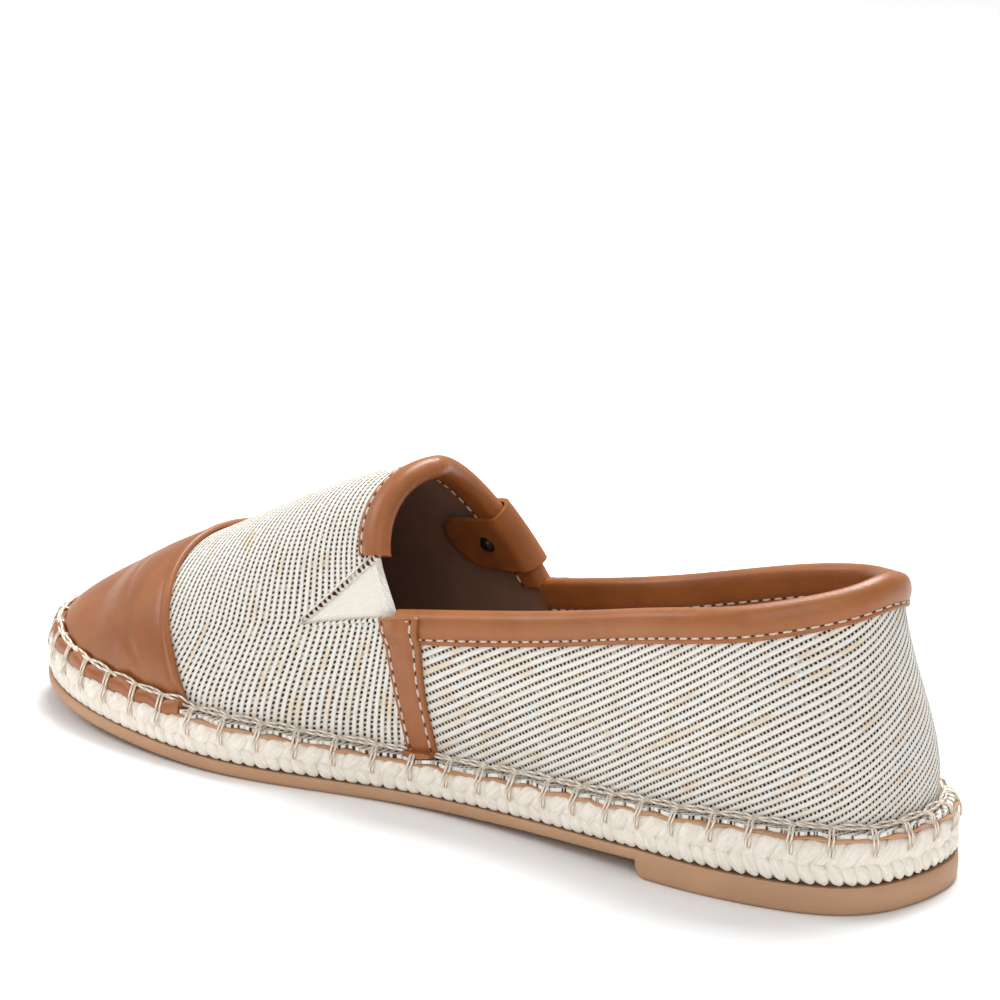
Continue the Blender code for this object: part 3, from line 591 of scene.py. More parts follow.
    def locate(self, side: int, along: Array, height: Array, share: float, part: float) -> tuple[Array,
                                                                                                 Array]:
        """Finds the share and part whose skin point has the asked Y and Z.

        Args:
            side: -1 or 1.
            along: wanted Y of each point.
            height: wanted Z of each point.
            share: first guess of the share.
            part: first guess of the part.

        Returns:
            The shares and the parts.
        """
        shares = np.full(np.shape(along), share)
        parts = np.full(np.shape(along), part)
        tiny = 1e-4
        for _ in range(14):
            here = self.skin(side, shares, parts)
            by_share = (self.skin(side, shares + tiny, parts) - here) / tiny
            by_part = (self.skin(side, shares, parts + tiny) - here) / tiny
            wrong_y, wrong_z = along - here[..., 1], height - here[..., 2]
            crossed = by_share[..., 1] * by_part[..., 2] - by_part[..., 1] * by_share[..., 2]
            crossed = np.where(np.abs(crossed) < 1e-9, 1e-9, crossed)
            more_share = (wrong_y * by_part[..., 2] - by_part[..., 1] * wrong_z) / crossed
            more_part = (by_share[..., 1] * wrong_z - wrong_y * by_share[..., 2]) / crossed
            shares = np.clip(shares + np.clip(more_share, -0.05, 0.05), self.throat, 0.99)
            parts = np.clip(parts + np.clip(more_part, -0.3, 0.3), 0.0, 2.0)
        return shares, parts

    def seam_share(self, side: int, parts: Array) -> Array:
        """Share of the toe cap's back edge at parts of the way up."""
        return self.cap_start + self.seam_sweep * smooth(0.5, 1.8, parts) / self.run(side)

    def throat_lean(self, side: int, parts: Array) -> Array:
        """How far the throat edge leans toe-wards of its share; only the inner side does."""
        inner = 0.0024 if side == -1 else 0.0
        return inner * smooth(1.85, 1.25, parts) * smooth(0.97, 1.32, parts)

    def gore_part(self, side: int) -> float:
        """Part of the throat edge where the gore's opening ends.

        Args:
            side: -1 for the inner side, 1 for the outer.

        Returns:
            The part of the way up.
        """
        parts = np.linspace(1, 2, 80)
        run = run_of(self.skin(side, np.full(80, self.throat), parts))
        return float(np.interp(self.gore_opening, run, parts))

    def gore_corners(self, side: int) -> tuple[Array, Array, Array]:
        """Corners of a gore's V: on the collar, at its tip and on the throat edge.

        Args:
            side: -1 for the inner side, 1 for the outer.

        Returns:
            The three corners, in that order.
        """
        parts = np.linspace(1, 2, 80)
        points = self.skin(side, np.full(80, self.throat), parts)
        low = points[0]
        tip = low + np.array((0.0, self.gore_tip_forward, -self.gore_tip_drop))
        return low, tip, at_runs(points, np.array([self.gore_opening]))[0]


@dataclass
class Fabricated:
    """Points, faces and lay coordinates gathered for one mesh.

    The lay coordinates run along the cloth or the strand in millimetres, so that a finish
    can follow them.
    """

    points: list = field(default_factory=list)
    faces: list = field(default_factory=list)
    lays: list = field(default_factory=list)
    marks: list = field(default_factory=list)
    count: int = 0

    def add(self, points: Array, faces: Sequence, lay: Array | None = None, mark: int = 0) -> None:
        """Adds loose points and faces.

        Args:
            points: the points.
            faces: rings of indices into those points.
            lay: lay coordinates of the points.
            mark: which of the piece's finishes the faces take.
        """
        points = np.asarray(points, float).reshape(-1, 3)
        lay = np.zeros_like(points) if lay is None else np.asarray(lay, float).reshape(-1, 3)
        start = self.count
        self.points.append(points)
        self.lays.append(lay)
        self.faces.extend([tuple(int(index) + start for index in face) for face in faces])
        self.marks.extend([mark] * len(faces))
        self.count += len(points)

    def grid(self, points: Array, lay: Array | None = None, mark: int = 0,
             wrap_rows: bool = False, wrap_lines: bool = False) -> None:
        """Adds a sheet of quads over a grid of points.

        Args:
            points: lines by rows of points.
            lay: lay coordinates of the same shape.
            mark: which of the piece's finishes the faces take.
            wrap_rows: joins the last point of each line to its first.
            wrap_lines: joins the last line to the first.
        """
        lines, rows = points.shape[:2]
        index = np.arange(lines * rows).reshape(lines, rows)
        if wrap_rows:
            index = np.concatenate((index, index[:, :1]), axis=1)
        if wrap_lines:
            index = np.concatenate((index, index[:1]), axis=0)
        quads = np.stack((index[:-1, :-1], index[1:, :-1], index[1:, 1:], index[:-1, 1:]), axis=-1)
        self.add(points, quads.reshape(-1, 4).tolist(), lay, mark)

    def block(self, outer: Array, inner: Array, lay: Array | None = None, mark: int = 0) -> None:
        """Adds a closed solid between two equal grids of points.

        Args:
            outer: lines by rows of points on the face.
            inner: the same grid on the back.
            lay: lay coordinates of the same shape.
            mark: which of the piece's finishes the faces take.
        """
        lay = np.zeros_like(outer) if lay is None else lay
        lines, rows = outer.shape[:2]
        index = np.arange(lines * rows).reshape(lines, rows)
        quads = np.stack((index[:-1, :-1], index[1:, :-1], index[1:, 1:], index[:-1, 1:]), axis=-1)
        far = quads.reshape(-1, 4)
        near = far[:, ::-1] + lines * rows
        ring = np.concatenate((index[:, 0], index[-1, 1:], index[-2::-1, -1], index[0, -2:0:-1]))
        after = np.roll(ring, -1)
        rim = np.stack((after, ring, ring + lines * rows, after + lines * rows), axis=-1)
        self.add(np.concatenate((outer.reshape(-1, 3), inner.reshape(-1, 3))),
                 np.concatenate((far, near, rim)).tolist(), np.concatenate((lay, lay)), mark)

    def tube(self, path: Array, normals: Array, wide: Array, high: Array, sides: int = 8,
             mark: int = 0, shift: float = 0.0) -> None:
        """Adds a strand along a path, oval in section.

        Args:
            path: points along the strand's middle.
            normals: direction of the section's height at each point.
            wide: half width at each point.
            high: half height at each point.
            sides: points round the section.
            mark: which of the piece's finishes the faces take.
            shift: added to the lay coordinates, so that strands differ.
        """
        ahead = unit(np.gradient(path, axis=0))
        across = unit(np.cross(ahead, normals))
        up = np.cross(across, ahead)
        turn = np.linspace(0, 2 * np.pi, sides, endpoint=False)
        wide = np.broadcast_to(wide, len(path))[:, None, None]
        high = np.broadcast_to(high, len(path))[:, None, None]
        ring = (across[:, None] * np.cos(turn)[None, :, None] * wide
                + up[:, None] * np.sin(turn)[None, :, None] * high)
        run = np.broadcast_to(run_of(path)[:, None], (len(path), sides))
        lay = np.stack((np.cos(turn)[None] * wide[..., 0] + shift * MM, np.sin(turn)[None] * high[..., 0],
                        run),
                       axis=-1) / MM
        points = path[:, None] + ring
        start = self.count
        self.grid(points, lay, mark, wrap_rows=True)
        ends = (tuple(range(start, start + sides)),
                tuple(range(start + (len(path) - 1) * sides, start + len(path) * sides)))
        self.faces.extend([ends[0][::-1], ends[1]])
        self.marks.extend([mark, mark])

    def build(self, form: ShoeForm, name: str, finishes: Sequence[bpy.types.Material], slot: Slot,
              stands_for: Sequence[str] = (), weld: float = 0.0, sharp: float = 50.0,
              outwards: bool = True) -> bpy.types.Object:
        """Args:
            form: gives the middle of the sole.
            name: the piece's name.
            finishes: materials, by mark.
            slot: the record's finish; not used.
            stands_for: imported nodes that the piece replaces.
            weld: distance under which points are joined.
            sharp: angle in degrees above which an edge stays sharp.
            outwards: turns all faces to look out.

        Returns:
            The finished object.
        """
        points = np.concatenate(self.points) - form.centre
        mesh = bpy.data.meshes.new(name)
        mesh.from_pydata(points.tolist(), [], self.faces)
        lay = mesh.attributes.new("lay", "FLOAT_VECTOR", "POINT")
        lay.data.foreach_set("vector", np.concatenate(self.lays).astype(np.float32).ravel())
        mesh.polygons.foreach_set("material_index", np.array(self.marks, dtype=np.int32))
        if weld > 0 or outwards:
            work = bmesh.new()
            work.from_mesh(mesh)
            if weld > 0:
                bmesh.ops.remove_doubles(work, verts=work.verts, dist=weld)
            if outwards:
                bmesh.ops.recalc_face_normals(work, faces=work.faces)
            work.to_mesh(mesh)
            work.free()
        for finish in finishes:
            mesh.materials.append(finish)
        mesh.shade_smooth()
        mesh.set_sharp_from_angle(angle=np.radians(sharp))
        made = bpy.data.objects.new(name, mesh)
        bpy.context.scene.collection.objects.link(made)
        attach(made, "root")
        if stands_for:
            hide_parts(*stands_for)
        LOG.info("%s: %d faces", name, len(mesh.polygons))
        return made


class Recipe:
    """Node tree of one material, written step by step."""

    def __init__(self, name: str) -> None:
        """Starts the material with its plain shader.

        Args:
            name: the material's name.
        """
        self.material = bpy.data.materials.new(name)
        self.material.use_nodes = True
        self.nodes = self.material.node_tree.nodes
        self.links = self.material.node_tree.links
        self.shader = self.nodes["Principled BSDF"]

    def node(self, kind: str, settings: dict | None = None, inputs: dict | None = None) -> bpy.types.Node:
        """Adds a node with its settings and its inputs by name or number.

        Args:
            kind: Blender's name for the node.
            settings: the node's properties.
            inputs: values or sockets, by input.

        Returns:
            The node.
        """
        made = self.nodes.new(kind)
        for key, value in (settings or {}).items():
            setattr(made, key, value)
        for key, value in (inputs or {}).items():
            self.put(made.inputs[key], value)
        return made

    def put(self, socket: bpy.types.NodeSocket, value: object) -> None:
        """Links a socket to another or sets its value.

        Args:
            socket: the input to fill.
            value: a number, a colour or a socket.
        """
        if isinstance(value, bpy.types.NodeSocket):
            self.links.new(value, socket)
        elif isinstance(value, tuple) and len(value) == 3 and socket.type == "RGBA":
            socket.default_value = (*value, 1.0)
        else:
            socket.default_value = value

    def math(self, kind: str, first: object, second: object = 0.0,
             third: object = 0.0) -> bpy.types.NodeSocket:
        """Result of one sum."""
        made = self.node("ShaderNodeMath", {"operation": kind}, {0: first, 1: second, 2: third})
        return made.outputs[0]

    def step(self, value: object, low: float, high: float, start: float = 0.0,
             end: float = 1.0) -> bpy.types.NodeSocket:
        """Soft step of a value between two limits.

        Args:
            value: what is stepped.
            low: where the step starts.
            high: where it ends.
            start: the result below low.
            end: the result above high.

        Returns:
            The stepped value.
        """
        made = self.node("ShaderNodeMapRange", {"interpolation_type": "SMOOTHSTEP"},
                         {"Value": value, "From Min": low, "From Max": high, "To Min": start, "To Max": end})
        return made.outputs[0]

    def mix(self, share: object, low: object, high: object, kind: str = "MIX") -> bpy.types.NodeSocket:
        """Mix of two colours.

        Args:
            share: how much of the second colour shows.
            low: the first colour.
            high: the second colour.
            kind: how the two are blended.

        Returns:
            The mixed colour.
        """
        made = self.node("ShaderNodeMix", {"data_type": "RGBA", "blend_type": kind},
                         {0: share, 6: low, 7: high})
        return made.outputs[2]

    def noise(self, where: object, scale: float, detail: float = 2.0, rough: float = 0.5,
              warp: float = 0.0) -> bpy.types.NodeSocket:
        """Soft noise at a place.

        Args:
            where: coordinates.
            scale: how fine the noise is.
            detail: how many finer layers it has.
            rough: how much the finer layers count.
            warp: how much it is bent.

        Returns:
            The noise, from 0 to 1.
        """
        made = self.node("ShaderNodeTexNoise", {}, {"Vector": where, "Scale": scale, "Detail": detail,
                                                    "Roughness": rough, "Distortion": warp})
        return made.outputs["Fac"]

    def stretched(self, where: object, scale: Colour,
                  move: Colour = (0.0, 0.0, 0.0)) -> bpy.types.NodeSocket:
        """Coordinates scaled on each axis and moved."""
        made = self.node("ShaderNodeMapping", {}, {"Vector": where, "Scale": scale, "Location": move})
        return made.outputs[0]

    def place(self) -> bpy.types.NodeSocket:
        """Place on the object, in metres."""
        return self.node("ShaderNodeTexCoord").outputs["Object"]

    def lay(self) -> bpy.types.NodeSocket:
        """Lay coordinates of the cloth or strand, in millimetres."""
        return self.node("ShaderNodeAttribute", {"attribute_name": "lay"}).outputs["Vector"]

    def split(self, vector: object) -> list[bpy.types.NodeSocket]:
        """The three numbers of a vector."""
        return list(self.node("ShaderNodeSeparateXYZ", {}, {0: vector}).outputs)

    def join(self, first: object, second: object, third: object = 0.0) -> bpy.types.NodeSocket:
        """A vector from three numbers."""
        return self.node("ShaderNodeCombineXYZ", {}, {0: first, 1: second, 2: third}).outputs[0]

    def bump(self, height: object, distance: float, strength: float = 1.0,
             under: object = None) -> bpy.types.NodeSocket:
        """Normal from a height, over an earlier normal.

        Args:
            height: the height over the face.
            distance: how high a height of 1 stands, in metres.
            strength: how much it counts.
            under: the earlier normal.

        Returns:
            The new normal.
        """
        inputs = {"Height": height, "Distance": distance, "Strength": strength}
        if under is not None:
            inputs["Normal"] = under
        return self.node("ShaderNodeBump", {}, inputs).outputs[0]

    def dress(self, **values: object) -> bpy.types.Material:
        """Sets the shader's sockets, by name with spaces as underscores.

        Args:
            **values: the shader's values or sockets.

        Returns:
            The finished material.
        """
        for key, value in values.items():
            self.put(self.shader.inputs[key.replace("_", " ")], value)
        return self.material


@dataclass(frozen=True)
class LeatherFinish:
    """Smooth pull-up leather with a soft sheen."""

    name: str = "tan_leather"
    body: Colour = (0.340, 0.113, 0.027)
    deep: Colour = (0.275, 0.085, 0.019)
    roughness: float = 0.40
    grain: float = 1.0

    def make(self) -> bpy.types.Material:
        """Builds the material.

        Returns:
            The finished material.
        """
        mix = Recipe(self.name)
        place = mix.place()
        cloud = mix.noise(place, 55.0, 3.0, 0.55)
        patch = mix.noise(place, 260.0, 2.0, 0.6)
        share = mix.step(mix.math("ADD", mix.math("MULTIPLY", cloud, 0.7), mix.math("MULTIPLY", patch, 0.3)),
                         0.35, 0.68)
        colour = mix.mix(share, self.deep, self.body)
        pores = mix.node("ShaderNodeTexVoronoi", {"feature": "SMOOTH_F1"},
                         {"Vector": place, "Scale": 1900.0, "Smoothness": 0.6}).outputs["Distance"]
        fine = mix.noise(place, 3200.0, 2.0, 0.6)
        wrinkle = mix.noise(mix.stretched(place, (1.0, 0.45, 1.0)), 620.0, 3.0, 0.6, 0.4)
        height = mix.math("ADD", mix.math("MULTIPLY", pores, 0.55), mix.math("MULTIPLY", fine, 0.25))
        height = mix.math("ADD", height, mix.math("MULTIPLY", wrinkle, 0.9))
        normal = mix.bump(height, 0.00006 * self.grain, 1.0)
        rough = mix.math("ADD", self.roughness - 0.05, mix.math("MULTIPLY", patch, 0.12))
        return mix.dress(Base_Color=colour, Roughness=rough, Normal=normal, Specular_IOR_Level=0.45,
                         Coat_Weight=0.12, Coat_Roughness=0.35)


@dataclass(frozen=True)
class WovenFinish:
    """Thick white rows with rows of dark brown crossings between them."""

    name: str = "woven_textile"
    white: Colour = (0.80, 0.79, 0.745)
    warm: Colour = (0.74, 0.62, 0.46)
    cool: Colour = (0.73, 0.77, 0.77)
    brown: Colour = (0.045, 0.018, 0.010)
    faded: Colour = (0.135, 0.066, 0.034)
    shadow: Colour = (0.36, 0.29, 0.22)

    def make(self) -> bpy.types.Material:
        """Builds the material; lay counts rows, then crossings, then says how crumpled the cloth is.

        Returns:
            The finished material.
        """
        mix = Recipe(self.name)
        across, along, loose = mix.split(mix.lay())
        flat = mix.join(across, along)
        sway = mix.math("SUBTRACT", mix.noise(mix.stretched(flat, (0.10, 0.03, 1.0)), 1.0, 1.0), 0.5)
        jitter = mix.math("SUBTRACT", mix.noise(flat, 0.8, 2.0), 0.5)
        crumple = mix.math("SUBTRACT", mix.noise(mix.stretched(flat, (0.9, 0.6, 1.0)), 1.0, 2.0), 0.5)
        rows = mix.math("ADD", across, mix.math("MULTIPLY", sway, 0.16))
        rows = mix.math("ADD", rows, mix.math("MULTIPLY", jitter, 0.07))
        rows = mix.math("ADD", rows, mix.math("MULTIPLY", mix.math("MULTIPLY", crumple, loose), 1.5))
        row = mix.math("FLOOR", rows)
        in_row = mix.math("FRACT", rows)
        stagger = mix.node("ShaderNodeTexWhiteNoise", {"noise_dimensions": "1D"},
                           {"W": row}).outputs["Value"]
        dots = mix.math("ADD", along, mix.math("MULTIPLY", stagger, 0.9))
        dots = mix.math("ADD", dots, mix.math("MULTIPLY", jitter, 0.6))
        dots = mix.math("ADD", dots, mix.math("MULTIPLY", mix.math("MULTIPLY", crumple, loose), 1.2))
        dot = mix.math("FLOOR", dots)
        in_dot = mix.math("FRACT", dots)
        spot = mix.node("ShaderNodeTexWhiteNoise", {"noise_dimensions": "2D"},
                        {"Vector": mix.join(row, dot)})
        chance = spot.outputs["Value"]
        channel = mix.math("MULTIPLY", mix.step(in_row, 0.56, 0.66), mix.step(in_row, 0.92, 1.0, 1.0, 0.0))
        beside = mix.math("DIVIDE", mix.math("SUBTRACT", in_row, 0.79), 0.185)
        length = mix.math("ADD", mix.math("MULTIPLY", chance, 0.09), 0.24)
        ahead = mix.math("DIVIDE", mix.math("SUBTRACT", in_dot, 0.5), length)
        far = mix.math("ADD", mix.math("MULTIPLY", beside, beside), mix.math("MULTIPLY", ahead, ahead))
        inside = mix.step(far, 0.75, 1.35, 1.0, 0.0)
        halo = mix.step(far, 1.2, 3.4, 0.55, 0.0)
        mark = mix.math("MULTIPLY", inside,
                        mix.step(mix.math("SUBTRACT", chance, mix.math("MULTIPLY", loose, 0.2)),
                                                     0.01, 0.05))
        from_rib = mix.math("DIVIDE", mix.math("SUBTRACT", in_row, 0.30), 0.36)
        rib = mix.math("MAXIMUM", mix.math("SUBTRACT", 1.0, mix.math("MULTIPLY", from_rib, from_rib)), 0.0)
        rib = mix.math("POWER", rib, 0.55)
        turn = mix.math("ADD", dots, mix.math("MULTIPLY", in_row, 0.8))
        pluck = mix.math("SINE", mix.math("MULTIPLY", turn, 6.2832))
        fibre = mix.noise(mix.stretched(flat, (17.0, 1.6, 1.0)), 1.0, 2.0, 0.6, 0.3)
        slub = mix.noise(mix.join(mix.math("MULTIPLY", row, 3.7), mix.math("MULTIPLY", along, 0.10)), 1.0,
                         1.0)
        tint = mix.noise(mix.join(mix.math("MULTIPLY", row, 5.1), mix.math("MULTIPLY", along, 0.16)), 1.0,
                         1.0)
        cross = mix.math("MULTIPLY", channel, mix.math("SUBTRACT", 1.0, inside))
        height = mix.math("ADD", mix.math("MULTIPLY", rib, 0.75), mix.math("MULTIPLY", pluck, 0.05))
        height = mix.math("ADD", height, mix.math("MULTIPLY", cross, 0.40))
        height = mix.math("ADD", height, mix.math("MULTIPLY", fibre, 0.14))
        tone = mix.mix(mix.step(slub, 0.52, 0.72, 0.0, 0.75), self.white, self.warm)
        tone = mix.mix(mix.step(tint, 0.55, 0.75, 0.0, 0.8), tone, self.cool)
        tone = mix.mix(mix.step(fibre, 0.42, 0.26, 0.0, 0.40), tone, self.warm)
        tone = mix.mix(halo, tone, self.warm)
        # painted shade: the cloth turns toward the shadow colour where the ribs dip between the rows, less
        # where crossing threads fill the channel
        deep = mix.step(mix.math("ADD", rib, mix.math("MULTIPLY", cross, 0.55)), 0.15, 0.85, 0.85, 0.0)
        tone = mix.mix(deep, tone, self.shadow)
        ink = mix.mix(mix.step(spot.outputs["Color"], 0.45, 0.95, 0.0, 1.0), self.brown, self.faded)
        colour = mix.mix(mark, tone, ink)
        normal = mix.bump(height, 0.00040, 0.95)
        return mix.dress(Base_Color=colour, Roughness=0.88, Normal=normal, Specular_IOR_Level=0.18)


@dataclass(frozen=True)
class FibreFinish:
    """Dry plant fibre lying along each strand of the rope."""

    name: str = "jute_rope"
    light: Colour = (0.97, 0.92, 0.83)
    mid: Colour = (0.90, 0.81, 0.69)
    dark: Colour = (0.46, 0.33, 0.20)
    relief: float = 0.00038

    def make(self) -> bpy.types.Material:
        """Builds the material; lay holds the section and the run of each strand.

        Returns:
            The finished material.
        """
        mix = Recipe(self.name)
        lay = mix.lay()
        broad = mix.noise(mix.stretched(lay, (1.6, 1.6, 0.12)), 1.0, 2.0, 0.55)
        fine = mix.noise(mix.stretched(lay, (4.6, 4.6, 0.34)), 1.0, 3.0, 0.6, 0.6)
        hair = mix.noise(mix.stretched(lay, (11.0, 11.0, 0.7)), 1.0, 2.0, 0.6, 0.5)
        tone = mix.mix(mix.step(broad, 0.30, 0.66), self.mid, self.light)
        tone = mix.mix(mix.step(fine, 0.52, 0.30, 0.0, 0.55), tone, self.mid)
        tone = mix.mix(mix.step(hair, 0.38, 0.22, 0.0, 0.6), tone, self.dark)
        height = mix.math("ADD", mix.math("MULTIPLY", fine, 0.8), mix.math("MULTIPLY", hair, 0.45))
        height = mix.math("ADD", height, mix.math("MULTIPLY", broad, 0.7))
        normal = mix.bump(height, self.relief, 0.9)
        return mix.dress(Base_Color=tone, Roughness=0.80, Normal=normal, Specular_IOR_Level=0.28,
                         Sheen_Weight=0.12, Sheen_Roughness=0.4)


@dataclass(frozen=True)
class ThreadFinish:
    """Plied sewing thread."""

    name: str = "sewing_thread"
    light: Colour = (0.74, 0.66, 0.56)
    dark: Colour = (0.50, 0.40, 0.31)
    twist: float = 2.6

    def make(self) -> bpy.types.Material:
        """Builds the material; lay holds the section and the run of the thread.

        Returns:
            The finished material.
        """
        mix = Recipe(self.name)
        first, second, run = mix.split(mix.lay())
        turn = mix.math("ARCTAN2", second, first)
        wave = mix.math("SINE", mix.math("ADD", mix.math("MULTIPLY", turn, 2.0),
                                         mix.math("MULTIPLY", run, self.twist * 2.0)))
        speck = mix.noise(mix.place(), 2600.0, 2.0, 0.6)
        # painted shade: the thread darkens in the grooves between its plies, where the twist's bump is low
        tone = mix.mix(mix.step(wave, -0.9, 0.4), self.dark, self.light)
        tone = mix.mix(mix.step(speck, 0.55, 0.75, 0.0, 0.5), tone, self.dark)
        height = mix.math("ADD", mix.math("MULTIPLY", wave, 0.5), mix.math("MULTIPLY", speck, 0.4))
        return mix.dress(Base_Color=tone, Roughness=0.7, Normal=mix.bump(height, 0.00007, 0.8),
                         Specular_IOR_Level=0.3)


@dataclass(frozen=True)
class RubberFinish:
    """Matt moulded rubber with a fine tread underneath."""

    name: str = "tan_rubber"
    body: Colour = (0.50, 0.290, 0.165)
    worn: Colour = (0.45, 0.255, 0.145)

    def make(self) -> bpy.types.Material:
        """Builds the material.

        Returns:
            The finished material.
        """
        mix = Recipe(self.name)
        place = mix.place()
        cloud = mix.noise(place, 40.0, 3.0, 0.6)
        grain = mix.noise(place, 2100.0, 2.0, 0.6)
        colour = mix.mix(mix.step(cloud, 0.36, 0.66), self.worn, self.body)
        colour = mix.mix(mix.step(grain, 0.60, 0.72, 0.0, 0.25), colour, self.worn)
        x, y, _ = mix.split(place)
        slant = mix.math("MULTIPLY", mix.math("ADD", x, y), 900.0)
        other = mix.math("MULTIPLY", mix.math("SUBTRACT", x, y), 900.0)
        tread = mix.math("MULTIPLY", mix.step(mix.math("SINE", slant), -0.3, 0.3),
                         mix.step(mix.math("SINE", other), -0.3, 0.3))
        facing = mix.split(mix.node("ShaderNodeNewGeometry").outputs["True Normal"])[2]
        under = mix.step(facing, -0.95, -0.8, 1.0, 0.0)
        normal = mix.bump(mix.math("MULTIPLY", tread, under), 0.0005, 0.8, mix.bump(grain, 0.00004, 0.7))
        return mix.dress(Base_Color=colour, Roughness=0.55, Normal=normal, Specular_IOR_Level=0.35)


@dataclass(frozen=True)
class ElasticFinish:
    """Cream knitted elastic with fine ribs."""

    name: str = "elastic"
    light: Colour = (0.86, 0.82, 0.75)
    dark: Colour = (0.66, 0.60, 0.52)

    def make(self) -> bpy.types.Material:
        """Builds the material; lay runs across and along the ribs.

        Returns:
            The finished material.
        """
        mix = Recipe(self.name)
        across, along, _ = mix.split(mix.lay())
        sway = mix.math("SUBTRACT", mix.noise(mix.join(across, along), 0.8, 2.0), 0.5)
        first = mix.math("SINE", mix.math("MULTIPLY",
                                          mix.math("ADD", across, mix.math("MULTIPLY", sway, 0.25)), 10.5))
        second = mix.math("SINE", mix.math("MULTIPLY",
                                           mix.math("ADD", along, mix.math("MULTIPLY", sway, 0.3)), 9.0))
        knit = mix.math("MULTIPLY", first, second)
        speck = mix.noise(mix.join(across, along), 3.4, 2.0, 0.6)
        # painted shade: the knit darkens in its hollows, where the bump is low
        tone = mix.mix(mix.step(knit, -0.95, 0.05), self.dark, self.light)
        tone = mix.mix(mix.step(speck, 0.50, 0.68, 0.0, 0.25), tone, self.dark)
        height = mix.math("ADD", mix.math("MULTIPLY", knit, 0.6), mix.math("MULTIPLY", speck, 0.3))
        return mix.dress(Base_Color=tone, Roughness=0.85, Normal=mix.bump(height, 0.00012, 0.7),
                         Specular_IOR_Level=0.2, Sheen_Weight=0.1)


@dataclass(frozen=True)
class LiningFinish:
    """Brushed brown lining."""

    name: str = "lining"
    body: Colour = (0.27, 0.138, 0.078)
    rubbed: Colour = (0.22, 0.108, 0.060)
    relief: float = 0.00006

    def make(self) -> bpy.types.Material:
        """Builds the material.

        Returns:
            The finished material.
        """
        mix = Recipe(self.name)
        place = mix.place()
        nap = mix.noise(mix.stretched(place, (1.0, 0.5, 1.0)), 1500.0, 3.0, 0.65)
        cloud = mix.noise(place, 70.0, 3.0, 0.6)
        colour = mix.mix(mix.step(cloud, 0.35, 0.65), self.rubbed, self.body)
        colour = mix.mix(mix.step(nap, 0.50, 0.72, 0.0, 0.35), colour, self.rubbed)
        return mix.dress(Base_Color=colour, Roughness=0.72, Normal=mix.bump(nap, self.relief, 0.8),
                         Specular_IOR_Level=0.25, Sheen_Weight=0.25, Sheen_Roughness=0.5)


@dataclass(frozen=True)
class MetalFinish:
    """Dark painted metal."""

    name: str = "dark_metal"
    body: Colour = (0.035, 0.024, 0.020)

    def make(self) -> bpy.types.Material:
        """Builds the material.

        Returns:
            The finished material.
        """
        mix = Recipe(self.name)
        place = mix.place()
        rub = mix.noise(place, 1400.0, 3.0, 0.6)
        colour = mix.mix(mix.step(rub, 0.55, 0.75, 0.0, 0.6), self.body, (0.10, 0.07, 0.055))
        return mix.dress(Base_Color=colour, Roughness=mix.math("ADD", 0.26, mix.math("MULTIPLY", rub, 0.2)),
                         Metallic=0.75, Normal=mix.bump(rub, 0.00003, 0.6))


@dataclass(frozen=True)
class HoleFinish:
    """Shadowed leather in a needle hole."""

    name: str = "needle_hole"
    body: Colour = (0.070, 0.030, 0.016)

    def make(self) -> bpy.types.Material:
        """Builds the material.

        Returns:
            The finished material.
        """
        mix = Recipe(self.name)
        speck = mix.noise(mix.place(), 1800.0, 1.0)
        return mix.dress(Base_Color=mix.mix(speck, self.body, (0.11, 0.045, 0.022)), Roughness=0.8,
                         Specular_IOR_Level=0.1)


@dataclass
class Palette:
    """All finishes of the shoe, made once."""

    leather: bpy.types.Material = field(default_factory=lambda: LeatherFinish().make())
    cloth: bpy.types.Material = field(default_factory=lambda: WovenFinish().make())
    rope: bpy.types.Material = field(default_factory=lambda: FibreFinish().make())
    # the core's fibre is coloured dark as painted shade in the gaps between the rope's strands
    core: bpy.types.Material = field(default_factory=lambda: FibreFinish(
        "rope_core", (0.40, 0.31, 0.21), (0.30, 0.22, 0.14), (0.16, 0.11, 0.07), 0.0003).make())
    thread: bpy.types.Material = field(default_factory=lambda: ThreadFinish().make())
    cord: bpy.types.Material = field(default_factory=lambda: ThreadFinish(
        "rope_thread", (0.86, 0.78, 0.68), (0.52, 0.42, 0.32), 1.1).make())
    rubber: bpy.types.Material = field(default_factory=lambda: RubberFinish().make())
    elastic: bpy.types.Material = field(default_factory=lambda: ElasticFinish().make())
    lining: bpy.types.Material = field(default_factory=lambda: LiningFinish().make())
    footbed: bpy.types.Material = field(default_factory=lambda: LiningFinish(
        "footbed", (0.50, 0.32, 0.21), (0.43, 0.265, 0.165), 0.00009).make())
    raw_edge: bpy.types.Material = field(default_factory=lambda: LiningFinish(
        "raw_edge", (0.56, 0.30, 0.15), (0.46, 0.23, 0.11), 0.00009).make())
    metal: bpy.types.Material = field(default_factory=lambda: MetalFinish().make())
    hole: bpy.types.Material = field(default_factory=lambda: HoleFinish().make())


